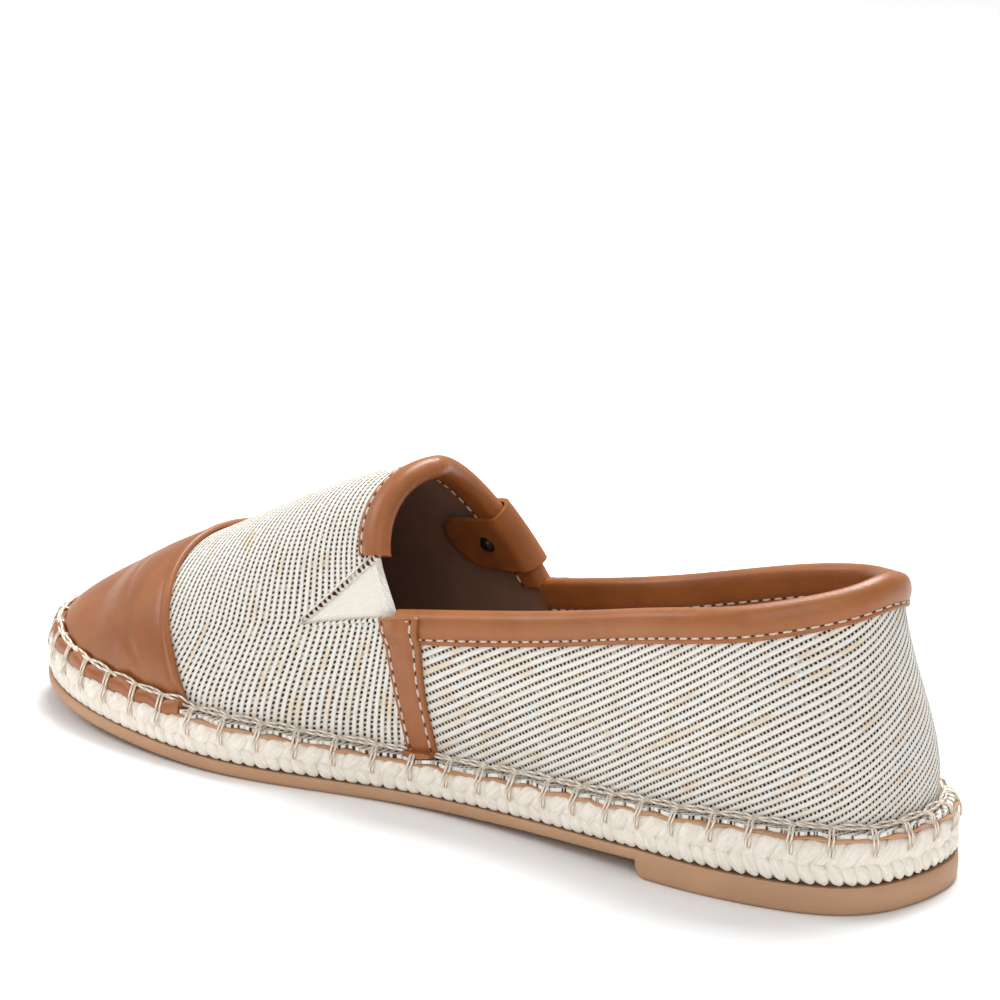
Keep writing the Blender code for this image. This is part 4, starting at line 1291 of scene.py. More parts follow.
@dataclass
class Studio:
    """Floor, soft lights and the camera at the photograph's angle."""

    azimuth: float = 39.37
    elevation: float = 16.0
    distance: float = 1.357
    focal: float = 5958.6
    offset: tuple[float, float] = (14.8, 155.5)
    roll: float = -1.84
    aim: Colour = (-0.0022, 0.0, 0.030)

    def camera(self) -> bpy.types.Object:
        """Places the camera, turned rather than shifted to frame the shoe.

        Returns:
            The camera.
        """
        turn, rise = np.radians(self.azimuth), np.radians(self.elevation)
        back = np.array((-np.cos(turn) * np.cos(rise), -np.sin(turn) * np.cos(rise), np.sin(rise)))
        right = np.array((np.sin(turn), -np.cos(turn), 0.0))
        up = np.cross(right, -back)
        forward = unit(-back + right * self.offset[0] / self.focal + up * self.offset[1] / self.focal)
        cosine, sine = np.cos(np.radians(self.roll)), np.sin(np.radians(self.roll))
        image_up = sine * right + cosine * up
        image_right = unit(np.cross(forward, image_up))
        image_up = np.cross(image_right, forward)
        data = bpy.data.cameras.new("camera")
        data.sensor_width = 36.0
        data.lens = 36.0 * self.focal / 1000.0
        data.clip_end = 20.0
        made = bpy.data.objects.new("camera", data)
        bpy.context.scene.collection.objects.link(made)
        eye = np.array(self.aim) + back * self.distance
        made.matrix_world = Matrix((
            (image_right[0], image_up[0], -forward[0], eye[0]),
            (image_right[1], image_up[1], -forward[1], eye[1]),
            (image_right[2], image_up[2], -forward[2], eye[2]),
            (0.0, 0.0, 0.0, 1.0)))
        bpy.context.scene.camera = made
        return made

    @staticmethod
    def lamp(name: str, place: Colour, aim: Colour, size: tuple[float, float], watts: float,
             colour: Colour = (1.0, 1.0, 1.0)) -> bpy.types.Object:
        """Adds one soft area light that looks at a point.

        Args:
            name: the light's name.
            place: where it hangs.
            aim: the point that it faces.
            size: its width and height.
            watts: its power.
            colour: its colour.

        Returns:
            The light.
        """
        data = bpy.data.lights.new(name, "AREA")
        data.shape = "RECTANGLE"
        data.size, data.size_y = size
        data.energy = watts
        data.color = colour
        made = bpy.data.objects.new(name, data)
        bpy.context.scene.collection.objects.link(made)
        made.location = place
        made.rotation_euler = (Vector(aim) - Vector(place)).to_track_quat("-Z", "Y").to_euler()
        return made

    def floor(self) -> bpy.types.Object:
        """Adds the pale floor.

        Returns:
            The floor.
        """
        mesh = bpy.data.meshes.new("floor")
        wide = 6.0
        mesh.from_pydata([(-wide, -wide, 0), (wide, -wide, 0), (wide, wide, 0), (-wide, wide, 0)], [],
                         [(0, 1, 2, 3)])
        mix = Recipe("floor_paper")
        mesh.materials.append(mix.dress(Base_Color=(0.93, 0.93, 0.93), Roughness=0.9,
                                        Specular_IOR_Level=0.1))
        made = bpy.data.objects.new("floor", mesh)
        bpy.context.scene.collection.objects.link(made)
        return made

    def build(self) -> None:
        """Sets up the whole studio."""
        self.floor()
        self.camera()
        world = bpy.data.worlds.new("studio")
        world.use_nodes = True
        world.node_tree.nodes["Background"].inputs["Color"].default_value = (1.0, 1.0, 1.0, 1.0)
        world.node_tree.nodes["Background"].inputs["Strength"].default_value = 0.50
        bpy.context.scene.world = world
        bpy.context.scene.view_settings.view_transform = "Standard"
        self.lamp("key", (0.44, 0.16, 0.98), (0.0, 0.0, 0.02), (0.55, 0.55), 14.2)
        self.lamp("fill", (-1.1, -0.75, 0.75), (0.0, 0.0, 0.04), (1.0, 0.8), 6.0)
        self.lamp("front", (-0.5, 1.0, 0.8), (0.0, 0.05, 0.03), (0.6, 0.4), 4.0)


@dataclass
class Outsole:
    """Moulded rubber sole with a heel block and a step at the waist."""

    form: ShoeForm
    palette: Palette
    corner: float = 0.0010
    breast_round: float = 0.0022
    columns: int = 520

    def rim(self, side: int, shares: Array) -> Array:
        """Rings of points from the underside's edge up to the top edge.

        Args:
            side: -1 for the inner side, 1 for the outer.
            shares: shares of the side's run.

        Returns:
            Lines by rows of points.
        """
        form = self.form
        plan = form.outline(side, shares)
        along = plan[..., 1]
        low = form.lift(along / form.length) * smooth(form.breast * form.length - 0.0001,
                                                      form.breast * form.length + 0.0001, along)
        before = np.clip((along - (form.breast * form.length - self.breast_round)) / self.breast_round, 0, 1)
        behind = along <= form.breast * form.length
        low = np.where(behind, self.breast_round * (1 - np.sqrt(1 - before ** 2)), low)
        top = form.sole_top(plan)
        rows = []
        for inset, rise in ((self.corner * 1.6, 0.0), (self.corner * 0.75, self.corner * 0.10),
                            (self.corner * 0.25, self.corner * 0.40), (0.0, self.corner)):
            rows.append(form.raised(form.outline(side, shares, inset), low + rise))
        middle = form.outline(side, shares, -0.00015)
        rows.append(form.raised(middle, (low + self.corner + top) / 2))
        rows.append(form.raised(plan, top - 0.0004))
        rows.append(form.raised(form.outline(side, shares, 0.0003), top - 0.00005))
        rows.append(form.raised(form.outline(side, shares, 0.0012), top))
        return np.stack(rows, axis=-2)

    def build(self) -> bpy.types.Object:
        """Builds the sole from both rims with faces across.

        Returns:
            The finished piece.
        """
        form = self.form
        shares = np.linspace(0, 1, self.columns)
        edges = []
        for side in (-1, 1):
            at = form.share_of(side, form.breast)
            extra = at + np.array((-3, -2.4, -1.8, -1.2, -0.7, -0.3, -0.05, 0.05,
                                   0.3)) * 0.0008 / form.run(side)
            edges.append(np.unique(np.concatenate((shares, extra, [at - 0.0022 / form.run(side) * step
                                                                   for step in (1.0, 0.6, 0.3, 0.1)]))))
        count = min(len(edge) for edge in edges)
        rims = [self.rim(side, edge[:count - 1].tolist() + [1.0]) for side, edge in zip((-1, 1), edges)]
        made = Fabricated()
        for rim in rims:
            made.grid(rim)
        for row in (0, -1):
            made.grid(np.stack((rims[0][:, row], rims[1][:, row]), axis=1))
        return made.build(form, "outsole_rubber", [self.palette.rubber], Slot.RUBBER, ["outsole"],
                          weld=2e-6, sharp=38.0)


@dataclass
class RopeMidsole:
    """Braided rope: plump strands above that lean one way and legs below that lean the other."""

    form: ShoeForm
    palette: Palette
    pitch: float = 0.0096
    phase: float = 0.0043
    strands: int = 3
    bulge: float = -0.0009

    def __post_init__(self) -> None:
        """Fits a whole number of stitches round the sole."""
        self.total = self.form.run(-1) + self.form.run(1)
        self.stitches = round(self.total / self.pitch)
        self.pitch = self.total / self.stitches

    def around(self, run: Array) -> tuple[Array, Array]:
        """Side and share at a distance round the sole, from the heel along the inner side.

        Args:
            run: distances round the sole.

        Returns:
            The side and the share of each distance.
        """
        run = np.mod(run, self.total)
        inner = self.form.run(-1)
        on_inner = run <= inner
        share = np.where(on_inner, run / inner, (self.total - run) / self.form.run(1))
        return np.where(on_inner, -1, 1), share

    def plan(self, run: Array, inset: Array) -> tuple[Array, Array]:
        """Plan points at distances round the sole moved in, and the inward directions.

        Args:
            run: distances round the sole.
            inset: how far in from the outline.

        Returns:
            The points and the directions.
        """
        side, share = self.around(run)
        inset = np.broadcast_to(inset, np.shape(run))
        both = [self.form.outline(one, share, inset) for one in (-1, 1)]
        inward = [self.form.inward(one, share) for one in (-1, 1)]
        pick = (side == -1)[..., None]
        return np.where(pick, both[0], both[1]), np.where(pick, inward[0], inward[1])

    def wall(self, run: Array, level: Array, out: Array) -> tuple[Array, Array]:
        """Points on the rope's side, out from it, and their outward normals.

        Args:
            run: distance round the sole.
            level: 0 at the outsole, 1 at the rope's top edge, above 1 in over the top.
            out: distance out from the rope's side.

        Returns:
            The points and the normals.
        """
        level = np.asarray(level, float)
        over = np.clip(level - 1.0, 0.0, None)
        lean = np.clip((level - 0.86) / 0.24, 0.0, 1.0) * np.pi / 2
        inset = -self.bulge - np.asarray(out) * np.cos(lean) + over * 0.0085 + 0.0008 * np.sin(lean)
        plan, inward = self.plan(run, inset)
        low = self.form.sole_top(plan) + self.form.gap
        high = self.form.rope_top(plan)
        height = low + (high - low) * np.minimum(level, 1.0) + np.asarray(out) * np.sin(lean)
        normal = -inward * np.cos(lean)[..., None]
        normal[..., 2] = np.sin(lean)
        return self.form.raised(plan, height), normal

    def strand(self, made: Fabricated, runs: Array, levels: Array, outs: Array, wide: Array, high: Array,
               seed: int) -> None:
        """Adds one strand along a smooth line over the rope's side."""
        path, normals = self.wall(runs, levels, outs)
        made.tube(path, normals, wide, high, 12, shift=float(seed % 97) * 13.0)

    def braid(self) -> bpy.types.Object:
        """Builds every strand of the braid.

        Returns:
            The finished piece.
        """
        random = np.random.RandomState(7)
        made = Fabricated()
        part = np.linspace(0, 1, 15)
        taper = np.sin(np.pi * np.clip(part, 0.02, 0.98)) ** 0.45
        seed = 0
        for stitch in range(self.stitches):
            start = self.phase + stitch * self.pitch
            step = self.pitch / self.strands
            for index in range(self.strands):
                seed += 1
                middle = start + (index + 0.5) * step
                near = abs(index - (self.strands - 1) / 2) / ((self.strands - 1) / 2)
                wander = random.uniform(-0.25, 0.25) * MM
                # above: leans back towards the heel as it climbs, plumpest between two stitches
                runs = middle + 0.0030 - part * 0.0062 + wander + np.sin(np.pi * part) * 0.0006
                levels = 0.36 + part * 0.80
                squeeze = 1.0 - 0.35 * near
                outs = -0.0005 + 0.0007 * squeeze * np.sin(np.pi * np.clip(part * 0.9 + 0.05, 0, 1))
                wide = 0.00225 * taper * random.uniform(0.94, 1.06)
                high = 0.00095 * taper * squeeze * random.uniform(0.94, 1.06)
                self.strand(made, runs, levels, outs, wide, high, seed)
                # below: leans the other way and tucks under the outsole's edge
                seed += 1
                wander = random.uniform(-0.2, 0.2) * MM
                runs = (middle + 0.0034 - (1 - part) * 0.0034 - 0.0036 + wander
                        - np.sin(np.pi * part) * 0.0004)
                levels = 0.02 + part * 0.50
                outs = -0.0004 + 0.0005 * np.sin(np.pi * np.clip(part * 0.85 + 0.1, 0, 1))
                wide = 0.00175 * taper * random.uniform(0.94, 1.06)
                high = 0.00085 * taper * random.uniform(0.94, 1.06)
                self.strand(made, runs, levels, outs, wide, high, seed)
        return made.build(self.form, "rope_braid", [self.palette.rope], Slot.ROPE, ["rope_midsole"],
                          outwards=False, sharp=180.0)

    def core(self) -> bpy.types.Object:
        """Builds the body of the rope behind the strands, coloured dark as painted shade in the gaps between
        them.

        Returns:
            The finished piece.
        """
        runs = np.linspace(0, self.total, 480, endpoint=False)
        rows = []
        for level, out in ((0.0, -0.0012), (0.25, -0.0009), (0.6, -0.0009), (0.9, -0.0011), (1.0, -0.0016)):
            rows.append(self.wall(runs, np.full(len(runs), level), np.full(len(runs), out))[0])
        rows = np.stack(rows, axis=1)
        rows[:, -1, 2] -= 0.0004
        made = Fabricated()
        lay = np.stack(np.broadcast_arrays(rows[..., 2] / MM, 0.0, runs[:, None] / MM), axis=-1)
        made.grid(rows, lay, wrap_lines=True)
        half = len(runs) // 2
        for row in (0, -1):
            inner, outer = rows[:half + 1, row], rows[half:, row][::-1]
            outer = np.concatenate((rows[:1, row], outer))[:half + 1]
            made.grid(np.stack((inner, outer), axis=1))
        return made.build(self.form, "rope_core", [self.palette.core], Slot.ROPE, weld=2e-6)

    def build(self) -> list[bpy.types.Object]:
        """Builds the core and the braid."""
        return [self.core(), self.braid()]


@dataclass
class BlanketStitch:
    """Heavy doubled thread that binds the flange to the rope, with its chain along the wall."""

    form: ShoeForm
    palette: Palette
    rope: RopeMidsole
    thread: float = 0.00029
    corner: float = 0.0037

    def build(self) -> bpy.types.Object:
        """Builds the chain along the wall's foot and one doubled stitch at each step.

        Returns:
            The finished piece.
        """
        random = np.random.RandomState(21)
        made = Fabricated()
        rope, form = self.rope, self.form
        count = rope.stitches
        starts = rope.phase + (np.arange(count) + random.uniform(-0.04, 0.04, count)) * rope.pitch
        for index in range(count):
            self.stitch(made, starts[index], random)
            ahead = starts[(index + 1) % count] + (rope.total if index + 1 == count else 0.0)
            self.link(made, starts[index], ahead, random)
        return made.build(form, "rope_stitching", [self.palette.cord], Slot.ROPE, outwards=False,
                          sharp=180.0)

    def over_cap(self, runs: Array) -> Array:
        """How much higher the thread lies on the toe cap's leather."""
        share = self.rope.around(runs)[1]
        return 0.0012 * smooth(self.form.cap_start - 0.002, self.form.cap_start + 0.004, share)

    def stitch(self, made: Fabricated, run: float, random: np.random.RandomState) -> None:
        """Adds the two strands of one stitch, from the wall's foot over the flange and down.

        Args:
            made: the mesh that gains them.
            run: the stitch's distance round the sole.
            random: draws the small differences.
        """
        lean = random.uniform(-0.25, 0.35) * MM
        # inset from the outline, height over the flange's top, spread of the two strands
        rows = ((self.corner + 0.0002, 0.0006, 0.10), (0.0030, 0.0008, 0.55), (0.0020, 0.0009, 0.85),
                (0.0012, 0.0007, 1.05), (0.0007, -0.0003, 1.15), (0.0002, -0.0013, 1.15),
                (-0.0002, -0.0024, 1.05), (-0.0002, -0.0036, 0.95), (0.0002, -0.0046, 0.70),
                (0.0011, -0.0052, 0.35))
        curve = Curve(np.arange(len(rows)), rows)
        where = np.linspace(0, len(rows) - 1, 30)
        insets, heights, spread = curve(where).T
        lift = smooth(5.5, 3.5, where)
        half = self.thread * 1.45 * random.uniform(0.85, 1.2)
        for hand in (-1, 1):
            runs = run + hand * spread * half + lean * np.sin(np.pi * where / where[-1])
            plan, inward = self.rope.plan(runs, insets)
            path = self.form.raised(plan, self.form.flange_top(plan) + heights + self.over_cap(runs) * lift)
            ahead = unit(np.gradient(path, axis=0))
            normals = unit(np.cross(ahead, np.cross(-inward + np.array((0, 0, 0.6)), ahead)))
            made.tube(path, normals, self.thread, self.thread * 0.9, 8)

    def link(self, made: Fabricated, start: float, end: float, random: np.random.RandomState) -> None:
        """Adds the two strands of one chain link along the foot of the wall.

        Args:
            made: the mesh that gains them.
            start: distance round the sole where the link starts.
            end: distance where it ends.
            random: draws the small differences.
        """
        part = np.linspace(-0.10, 1.08, 20)
        bow = np.sin(np.pi * np.clip(part, 0, 1)) ** 0.8
        thick = self.thread * 1.12
        for hand in (-1, 1):
            runs = start + (end - start) * part
            insets = (self.corner - 0.0001 - self.over_cap(runs) * 1.1
                      - hand * bow * 0.00040 * random.uniform(0.7, 1.3))
            heights = 0.00085 + bow * (0.00030 - hand * 0.00034) * random.uniform(0.7, 1.2)
            plan, inward = self.rope.plan(runs, insets)
            path = self.form.raised(plan, self.form.flange_top(plan) + heights + self.over_cap(runs))
            made.tube(path, -inward, thick, thick, 8)


@dataclass
class Seam:
    """Row of machine stitches with their needle holes."""

    palette: Palette
    pitch: float = 0.0030
    length: float = 0.0020
    radius: float = 0.00025
    thread_lift: float = 0.00006
    hole_depth: float = 0.00016

    def add(self, made: Fabricated, path: Array, normals: Array, thread_mark: int = 1, hole_mark: int = 2,
            closed: bool = False) -> None:
        """Adds the stitches along a path on the leather's face.

        Args:
            made: the mesh that gains them.
            path: points on the face.
            normals: the face's normals at those points.
            thread_mark: finish of the thread.
            hole_mark: finish of the holes.
            closed: whether the path joins its own start.
        """
        run = run_of(path)
        count = max(1, int(round(run[-1] / self.pitch)))
        pitch = run[-1] / count
        template = self._capsule(self.length * pitch / self.pitch, self.radius)
        for index in range(count):
            middle = (index + 0.5) * pitch
            self._place(made, path, normals, run, middle, template, self.thread_lift, thread_mark)
        hole = self._capsule((pitch - self.length * pitch / self.pitch) * 1.25, self.radius * 1.15)
        for index in range(count + (0 if closed else 1)):
            self._place(made, path, normals, run, index * pitch, hole, -self.hole_depth, hole_mark)

    @staticmethod
    def _capsule(length: float, radius: float) -> Array:
        """Rounded bar along X as rings of points.

        Args:
            length: the bar's length.
            radius: the bar's radius.

        Returns:
            Rings by points.
        """
        sides = 8
        half = length / 2
        turn = np.linspace(0, 2 * np.pi, sides, endpoint=False)
        rows = []
        for place, wide in ((-1.0, 0.12), (-0.93, 0.62), (-0.75, 0.95), (-0.3, 1.05), (0.3, 1.05),
                            (0.75, 0.95), (0.93, 0.62), (1.0, 0.12)):
            rows.append(np.stack((np.full(sides, place * half), np.cos(turn) * wide * radius,
                                  np.sin(turn) * wide * radius - (1 - np.cos(place * 1.2)) * radius * 0.6),
                                  axis=1))
        return np.array(rows)

    @staticmethod
    def _place(made: Fabricated, path: Array, normals: Array, run: Array, middle: float, template: Array,
               lift: float, mark: int) -> None:
        """Adds one bar at a distance along the path.

        Args:
            made: the mesh that gains it.
            path: points along the line.
            normals: the skin's normals at the points.
            run: distance along the path of each of its points.
            middle: distance of the bar's middle.
            template: the bar's points.
            lift: height over the face.
            mark: which of the piece's finishes the faces take.
        """
        tiny = 0.0004
        where = np.clip(np.array((middle - tiny, middle, middle + tiny)), 0, run[-1])
        points = np.stack([np.interp(where, run, path[:, axis]) for axis in range(3)], axis=1)
        normal = unit(np.array([np.interp(middle, run, normals[:, axis]) for axis in range(3)]))
        ahead = unit(points[2] - points[0])
        across = unit(np.cross(normal, ahead))
        up = np.cross(ahead, across)
        placed = (points[1] + up * lift + template[..., :1] * ahead + template[..., 1:2] * across
                  + template[..., 2:] * up)
        lay = np.stack((template[..., 1], template[..., 2], template[..., 0] + middle), axis=-1) / MM
        made.grid(placed, lay, mark, wrap_rows=True)


@dataclass
class WovenUpper:
    """Woven shell with its lower edge turned out on the rope, and its lining."""

    form: ShoeForm
    palette: Palette
    rope: RopeMidsole
    cloth: float = 0.0008
    quarter_slant: float = 25.5
    quarter_pitch: float = 1.62
    vamp_pitch: float = 1.72
    dot_pitch: float = 1.12
    border_lean: float = 0.0069
    flange_rows: int = 8
    fillet_rows: int = 4
    wall_rows: int = 58
    top_rows: int = 96

    def sway(self, run: Array) -> Array:
        """Height of the flange's wavy edge: pressed down at each stitch, loose between.

        Args:
            run: distances round the sole.

        Returns:
            The height at each distance.
        """
        phase = np.mod((run - self.rope.phase) / self.rope.pitch, 1.0)
        pinch = np.exp(-(np.minimum(phase, 1 - phase) * self.rope.pitch / 0.0019) ** 2)
        loose = ripple(run, 5, ((0.0131, 0.00014), (0.0211, 0.00016), (0.0067, 0.00008)))
        return 0.00030 - 0.00055 * pinch + loose * (1 - pinch)

    def run_at(self, side: int, shares: Array) -> Array:
        """Distance round the sole of shares of a side."""
        total = self.rope.total
        return shares * self.form.run(-1) if side == -1 else total - shares * self.form.run(1)

    def flange(self, side: int, shares: Array, out: float = 0.0, reach: float = 0.0) -> Array:
        """Rows of the flange from its edge in to the wall's foot.

        Args:
            side: -1 or 1.
            shares: shares of the side's run.
            out: distance off the skin.
            reach: how much further out the edge lies.

        Returns:
            Points by share and row.
        """
        form = self.form
        wall, fillet = form.flange_inset + form.flange_reach, form.foot_fillet
        run = self.run_at(side, shares)
        edge = form.flange_inset - reach + ripple(run, 9, ((0.0173, 0.00022), (0.0089, 0.00016)))
        edge = edge + (0.0005 if reach else 0.0013) * smooth(form.cap_start + 0.002, form.cap_start + 0.008,
                                                             shares)
        rows = []
        for part in np.linspace(0, 1, self.flange_rows):
            inset = edge + (wall - fillet - edge) * part
            plan = form.outline(side, shares, inset)
            height = form.flange_top(plan) + self.sway(run) * (1 - part) ** 0.7 + out
            rows.append(form.raised(plan, height))
        for turn in np.linspace(0, np.pi / 2, self.fillet_rows + 1)[1:-1]:
            shift = fillet - out
            plan = form.outline(side, shares, wall - fillet + shift * np.sin(turn))
            rows.append(form.raised(plan, form.flange_top(plan) + fillet - shift * np.cos(turn)))
        return np.stack(rows, axis=1)

    @staticmethod
    def heights(points: Array) -> Array:
        """Distance up each line of a grid from its first point, in millimetres."""
        steps = np.linalg.norm(np.diff(points, axis=1), axis=-1)
        return np.concatenate((np.zeros((len(points), 1)), np.cumsum(steps, axis=1)), axis=1) / MM

    def weave(self, across: Array, along: Array, pitch: float, lining: bool) -> Array:
        """Lay of the cloth: rows, crossings, and how crumpled the cloth is on the flange.

        Args:
            across: distance over the rows, in millimetres.
            along: distance along the rows, in millimetres.
            pitch: width of a row, in millimetres.
            lining: whether it is the lining.

        Returns:
            Lay coordinates of each point.
        """
        loose = np.zeros_like(across)
        if not lining:
            ramp = np.linspace(1.0, 0.2, self.flange_rows + 2)
            loose[:, :len(ramp)] = ramp
        return np.stack((across / pitch, along / self.dot_pitch, loose), axis=-1)

    def panel(self, side: int, shares: Array, parts: Array, out: float, lining: bool) -> Array:
        """Grid of a panel from its flange up; the lining has no flange."""
        wall = self.form.skin(side, shares, parts) + self.form.normal(side, shares, parts) * out
        return wall if lining else np.concatenate((self.flange(side, shares[:, 0], out), wall), axis=1)

    def quarter(self, out: float, lining: bool) -> tuple[Array, Array]:
        """Grid round the heel from one side strip to the other, with its lay.

        Args:
            out: distance off the skin.
            lining: whether it is the lining.

        Returns:
            The grid and the lay coordinates.
        """
        form = self.form
        parts = np.linspace(0, 1, self.wall_rows)
        halves, runs = [], []
        for side in (-1, 1):
            share, part = np.meshgrid(np.linspace(0, form.throat - 1e-5, 170), parts, indexing="ij")
            share = share + self.border_lean * (1 - part) / form.run(side) * (share / form.throat) ** 2
            halves.append(self.panel(side, share, part, out, lining))
            run = share * side * form.run(side) / MM
            extra = halves[-1].shape[1] - run.shape[1]
            runs.append(np.concatenate((np.repeat(run[:, :1], extra, axis=1), run), axis=1))
        points = np.concatenate((halves[0][::-1], halves[1][1:]))
        run = np.concatenate((runs[0][::-1], runs[1][1:]))
        high = self.heights(points)
        if not lining:
            foot = self.flange_rows + self.fillet_rows - 1
            high = high - high[:, foot:foot + 1]
        slant = np.radians(self.quarter_slant)
        return points, self.weave(high * np.cos(slant) - run * np.sin(slant),
                                  high * np.sin(slant) + run * np.cos(slant), self.quarter_pitch, lining)

    def vamp(self, out: float, lining: bool) -> tuple[Array, Array]:
        """Grid over the vamp from one flange to the other, with its lay.

        Args:
            out: distance off the skin.
            lining: whether it is the lining.

        Returns:
            The grid and the lay coordinates.
        """
        form = self.form
        last = 1.0 if lining else form.cap_start + 0.03
        halves, flats = [], []
        for side in (-1, 1):
            share, part = np.meshgrid(np.linspace(form.throat, last, 200 if lining else 110),
                                      np.linspace(0, 2, self.top_rows), indexing="ij")
            lean = self.border_lean * np.clip(1 - part, 0, 1)
            if lining:
                opening = form.gore_part(side)
                lean = lean + 0.0017 * smooth(0.96, 1.0, part) * smooth(opening + 0.06, opening, part)
            lean = lean + form.throat_lean(side, part)
            share = share + lean / form.run(side) * ((last - share) / (last - form.throat)) ** 2
            wall = self.panel(side, share, part, out, lining)
            halves.append(wall)
            ridge = form.ridge(share[:, -1])[0]
            along_ridge = run_of(ridge) + ridge[0, 1]
            weight = np.zeros(wall.shape)[..., 0]
            weight[:, -part.shape[1]:] = smooth(0.0, 2.0, part)
            flats.append(wall[..., 1] + (along_ridge[:, None] - wall[..., 1]) * weight)
        points = np.concatenate((halves[0], halves[1][:, -2::-1]), axis=1)
        across = np.concatenate((flats[0], flats[1][:, -2::-1]), axis=1) / MM
        high = self.heights(points)
        lay = self.weave(across, high - high[:, halves[0].shape[1] - 1:halves[0].shape[1]], self.vamp_pitch,
                         lining)
        lay[..., 2] = np.maximum(lay[..., 2], lay[:, ::-1, 2])
        return points, lay

    def cut(self, made: bpy.types.Object, side: int) -> None:
        """Cuts the V for the gore out of a finished shell on one side.

        Args:
            made: the shell.
            side: -1 for the inner side, 1 for the outer.
        """
        low, tip, high = (corner - self.form.centre for corner in self.form.gore_corners(side))
        work = bmesh.new()
        work.from_mesh(made.data)

        off_middle, margin, headroom = 0.008, 0.004, 0.012

        def near(face: bmesh.types.BMFace) -> bool:
            """Whether a face lies round the V on the side that is cut."""
            middle = face.calc_center_median()
            return (middle.x * side > off_middle and low[1] - margin < middle.y < tip[1] + margin
                    and tip[2] - margin < middle.z < high[2] + headroom)

        for start, end in ((low, tip), (high, tip)):
            normal = np.array((0.0, -(end - start)[2], (end - start)[1]))
            faces = [face for face in work.faces if near(face)]
            geometry = faces + list({edge for face in faces for edge in face.edges}) \
                + list({vert for face in faces for vert in face.verts})
            bmesh.ops.bisect_plane(work, geom=geometry, dist=1e-7, plane_co=tuple(tip),
                                   plane_no=tuple(unit(normal)))
        gone = []
        for face in work.faces:
            if not near(face):
                continue
            middle = np.array(face.calc_center_median())
            over_low = self._above(middle, low, tip) > 0.0
            under_high = self._above(middle, high, tip) < 0.0
            if over_low and under_high and middle[1] < tip[1]:
                gone.append(face)
        bmesh.ops.delete(work, geom=gone, context="FACES")
        work.to_mesh(made.data)
        work.free()

    @staticmethod
    def _above(point: Array, start: Array, end: Array) -> float:
        """Height of a point over a line seen from the side."""
        slope = (end[2] - start[2]) / (end[1] - start[1])
        return float(point[2] - (start[2] + slope * (point[1] - start[1])))

    def shell(self, name: str, outer: float, inner: float, lining: bool, finish: bpy.types.Material,
              slot: Slot, stands_for: Sequence[str] = ()) -> bpy.types.Object:
        """Builds one thickness of the upper and cuts both gores out of it.

        Args:
            name: the piece's name.
            outer: distance of the face off the skin.
            inner: distance of the back off the skin.
            lining: whether it is the lining.
            finish: the piece's material.
            slot: the record's finish.
            stands_for: nodes that the piece replaces.

        Returns:
            The finished piece.
        """
        made = Fabricated()
        for part in (self.quarter, self.vamp):
            points, lay = part(outer, lining)
            made.block(points, part(inner, lining)[0], lay)
        built = made.build(self.form, name, [finish], slot, stands_for, weld=3e-6 if lining else 0.0,
                           sharp=60.0)
        if not lining:
            for side in (-1, 1):
                self.cut(built, side)
        return built

    def edge(self) -> bpy.types.Object:
        """Builds the lining's raw edge that peeps out under the flange.

        Returns:
            The finished piece.
        """
        made = Fabricated()
        rope = self.rope
        runs = np.linspace(0, rope.total, 900, endpoint=False)
        wander = ripple(runs, 31, ((0.0151, 0.00030), (0.0093, 0.00020), (0.031, 0.00022)))
        share = rope.around(runs)[1]
        wander = wander + 0.0016 * smooth(self.form.cap_start, self.form.cap_start + 0.006, share)
        rows = []
        for inset, height in ((0.0022, -0.00085), (0.0006, -0.00085), (0.00015, -0.00105),
                              (0.0004, -0.00150), (0.0022, -0.00160)):
            plan = rope.plan(runs, inset + wander + 0.0002)[0]
            rows.append(self.form.raised(plan, self.form.flange_top(plan) + height + self.sway(runs) * 0.6))
        made.grid(np.stack(rows, axis=1), wrap_rows=True, wrap_lines=True)
        return made.build(self.form, "lining_raw_edge", [self.palette.raw_edge], Slot.LINING)

    def build(self) -> list[bpy.types.Object]:
        """Builds the cloth, the lining and the lining's raw edge.

        Returns:
            The finished pieces.
        """
        cloth = self.shell("upper_cloth", 0.0, -self.cloth, False, self.palette.cloth, Slot.TEXTILE,
                           ["upper"])
        lining = self.shell("upper_lining", -self.cloth - 0.00002, -self.form.wall, True,
                            self.palette.lining, Slot.LINING)
        return [cloth, lining, self.edge()]


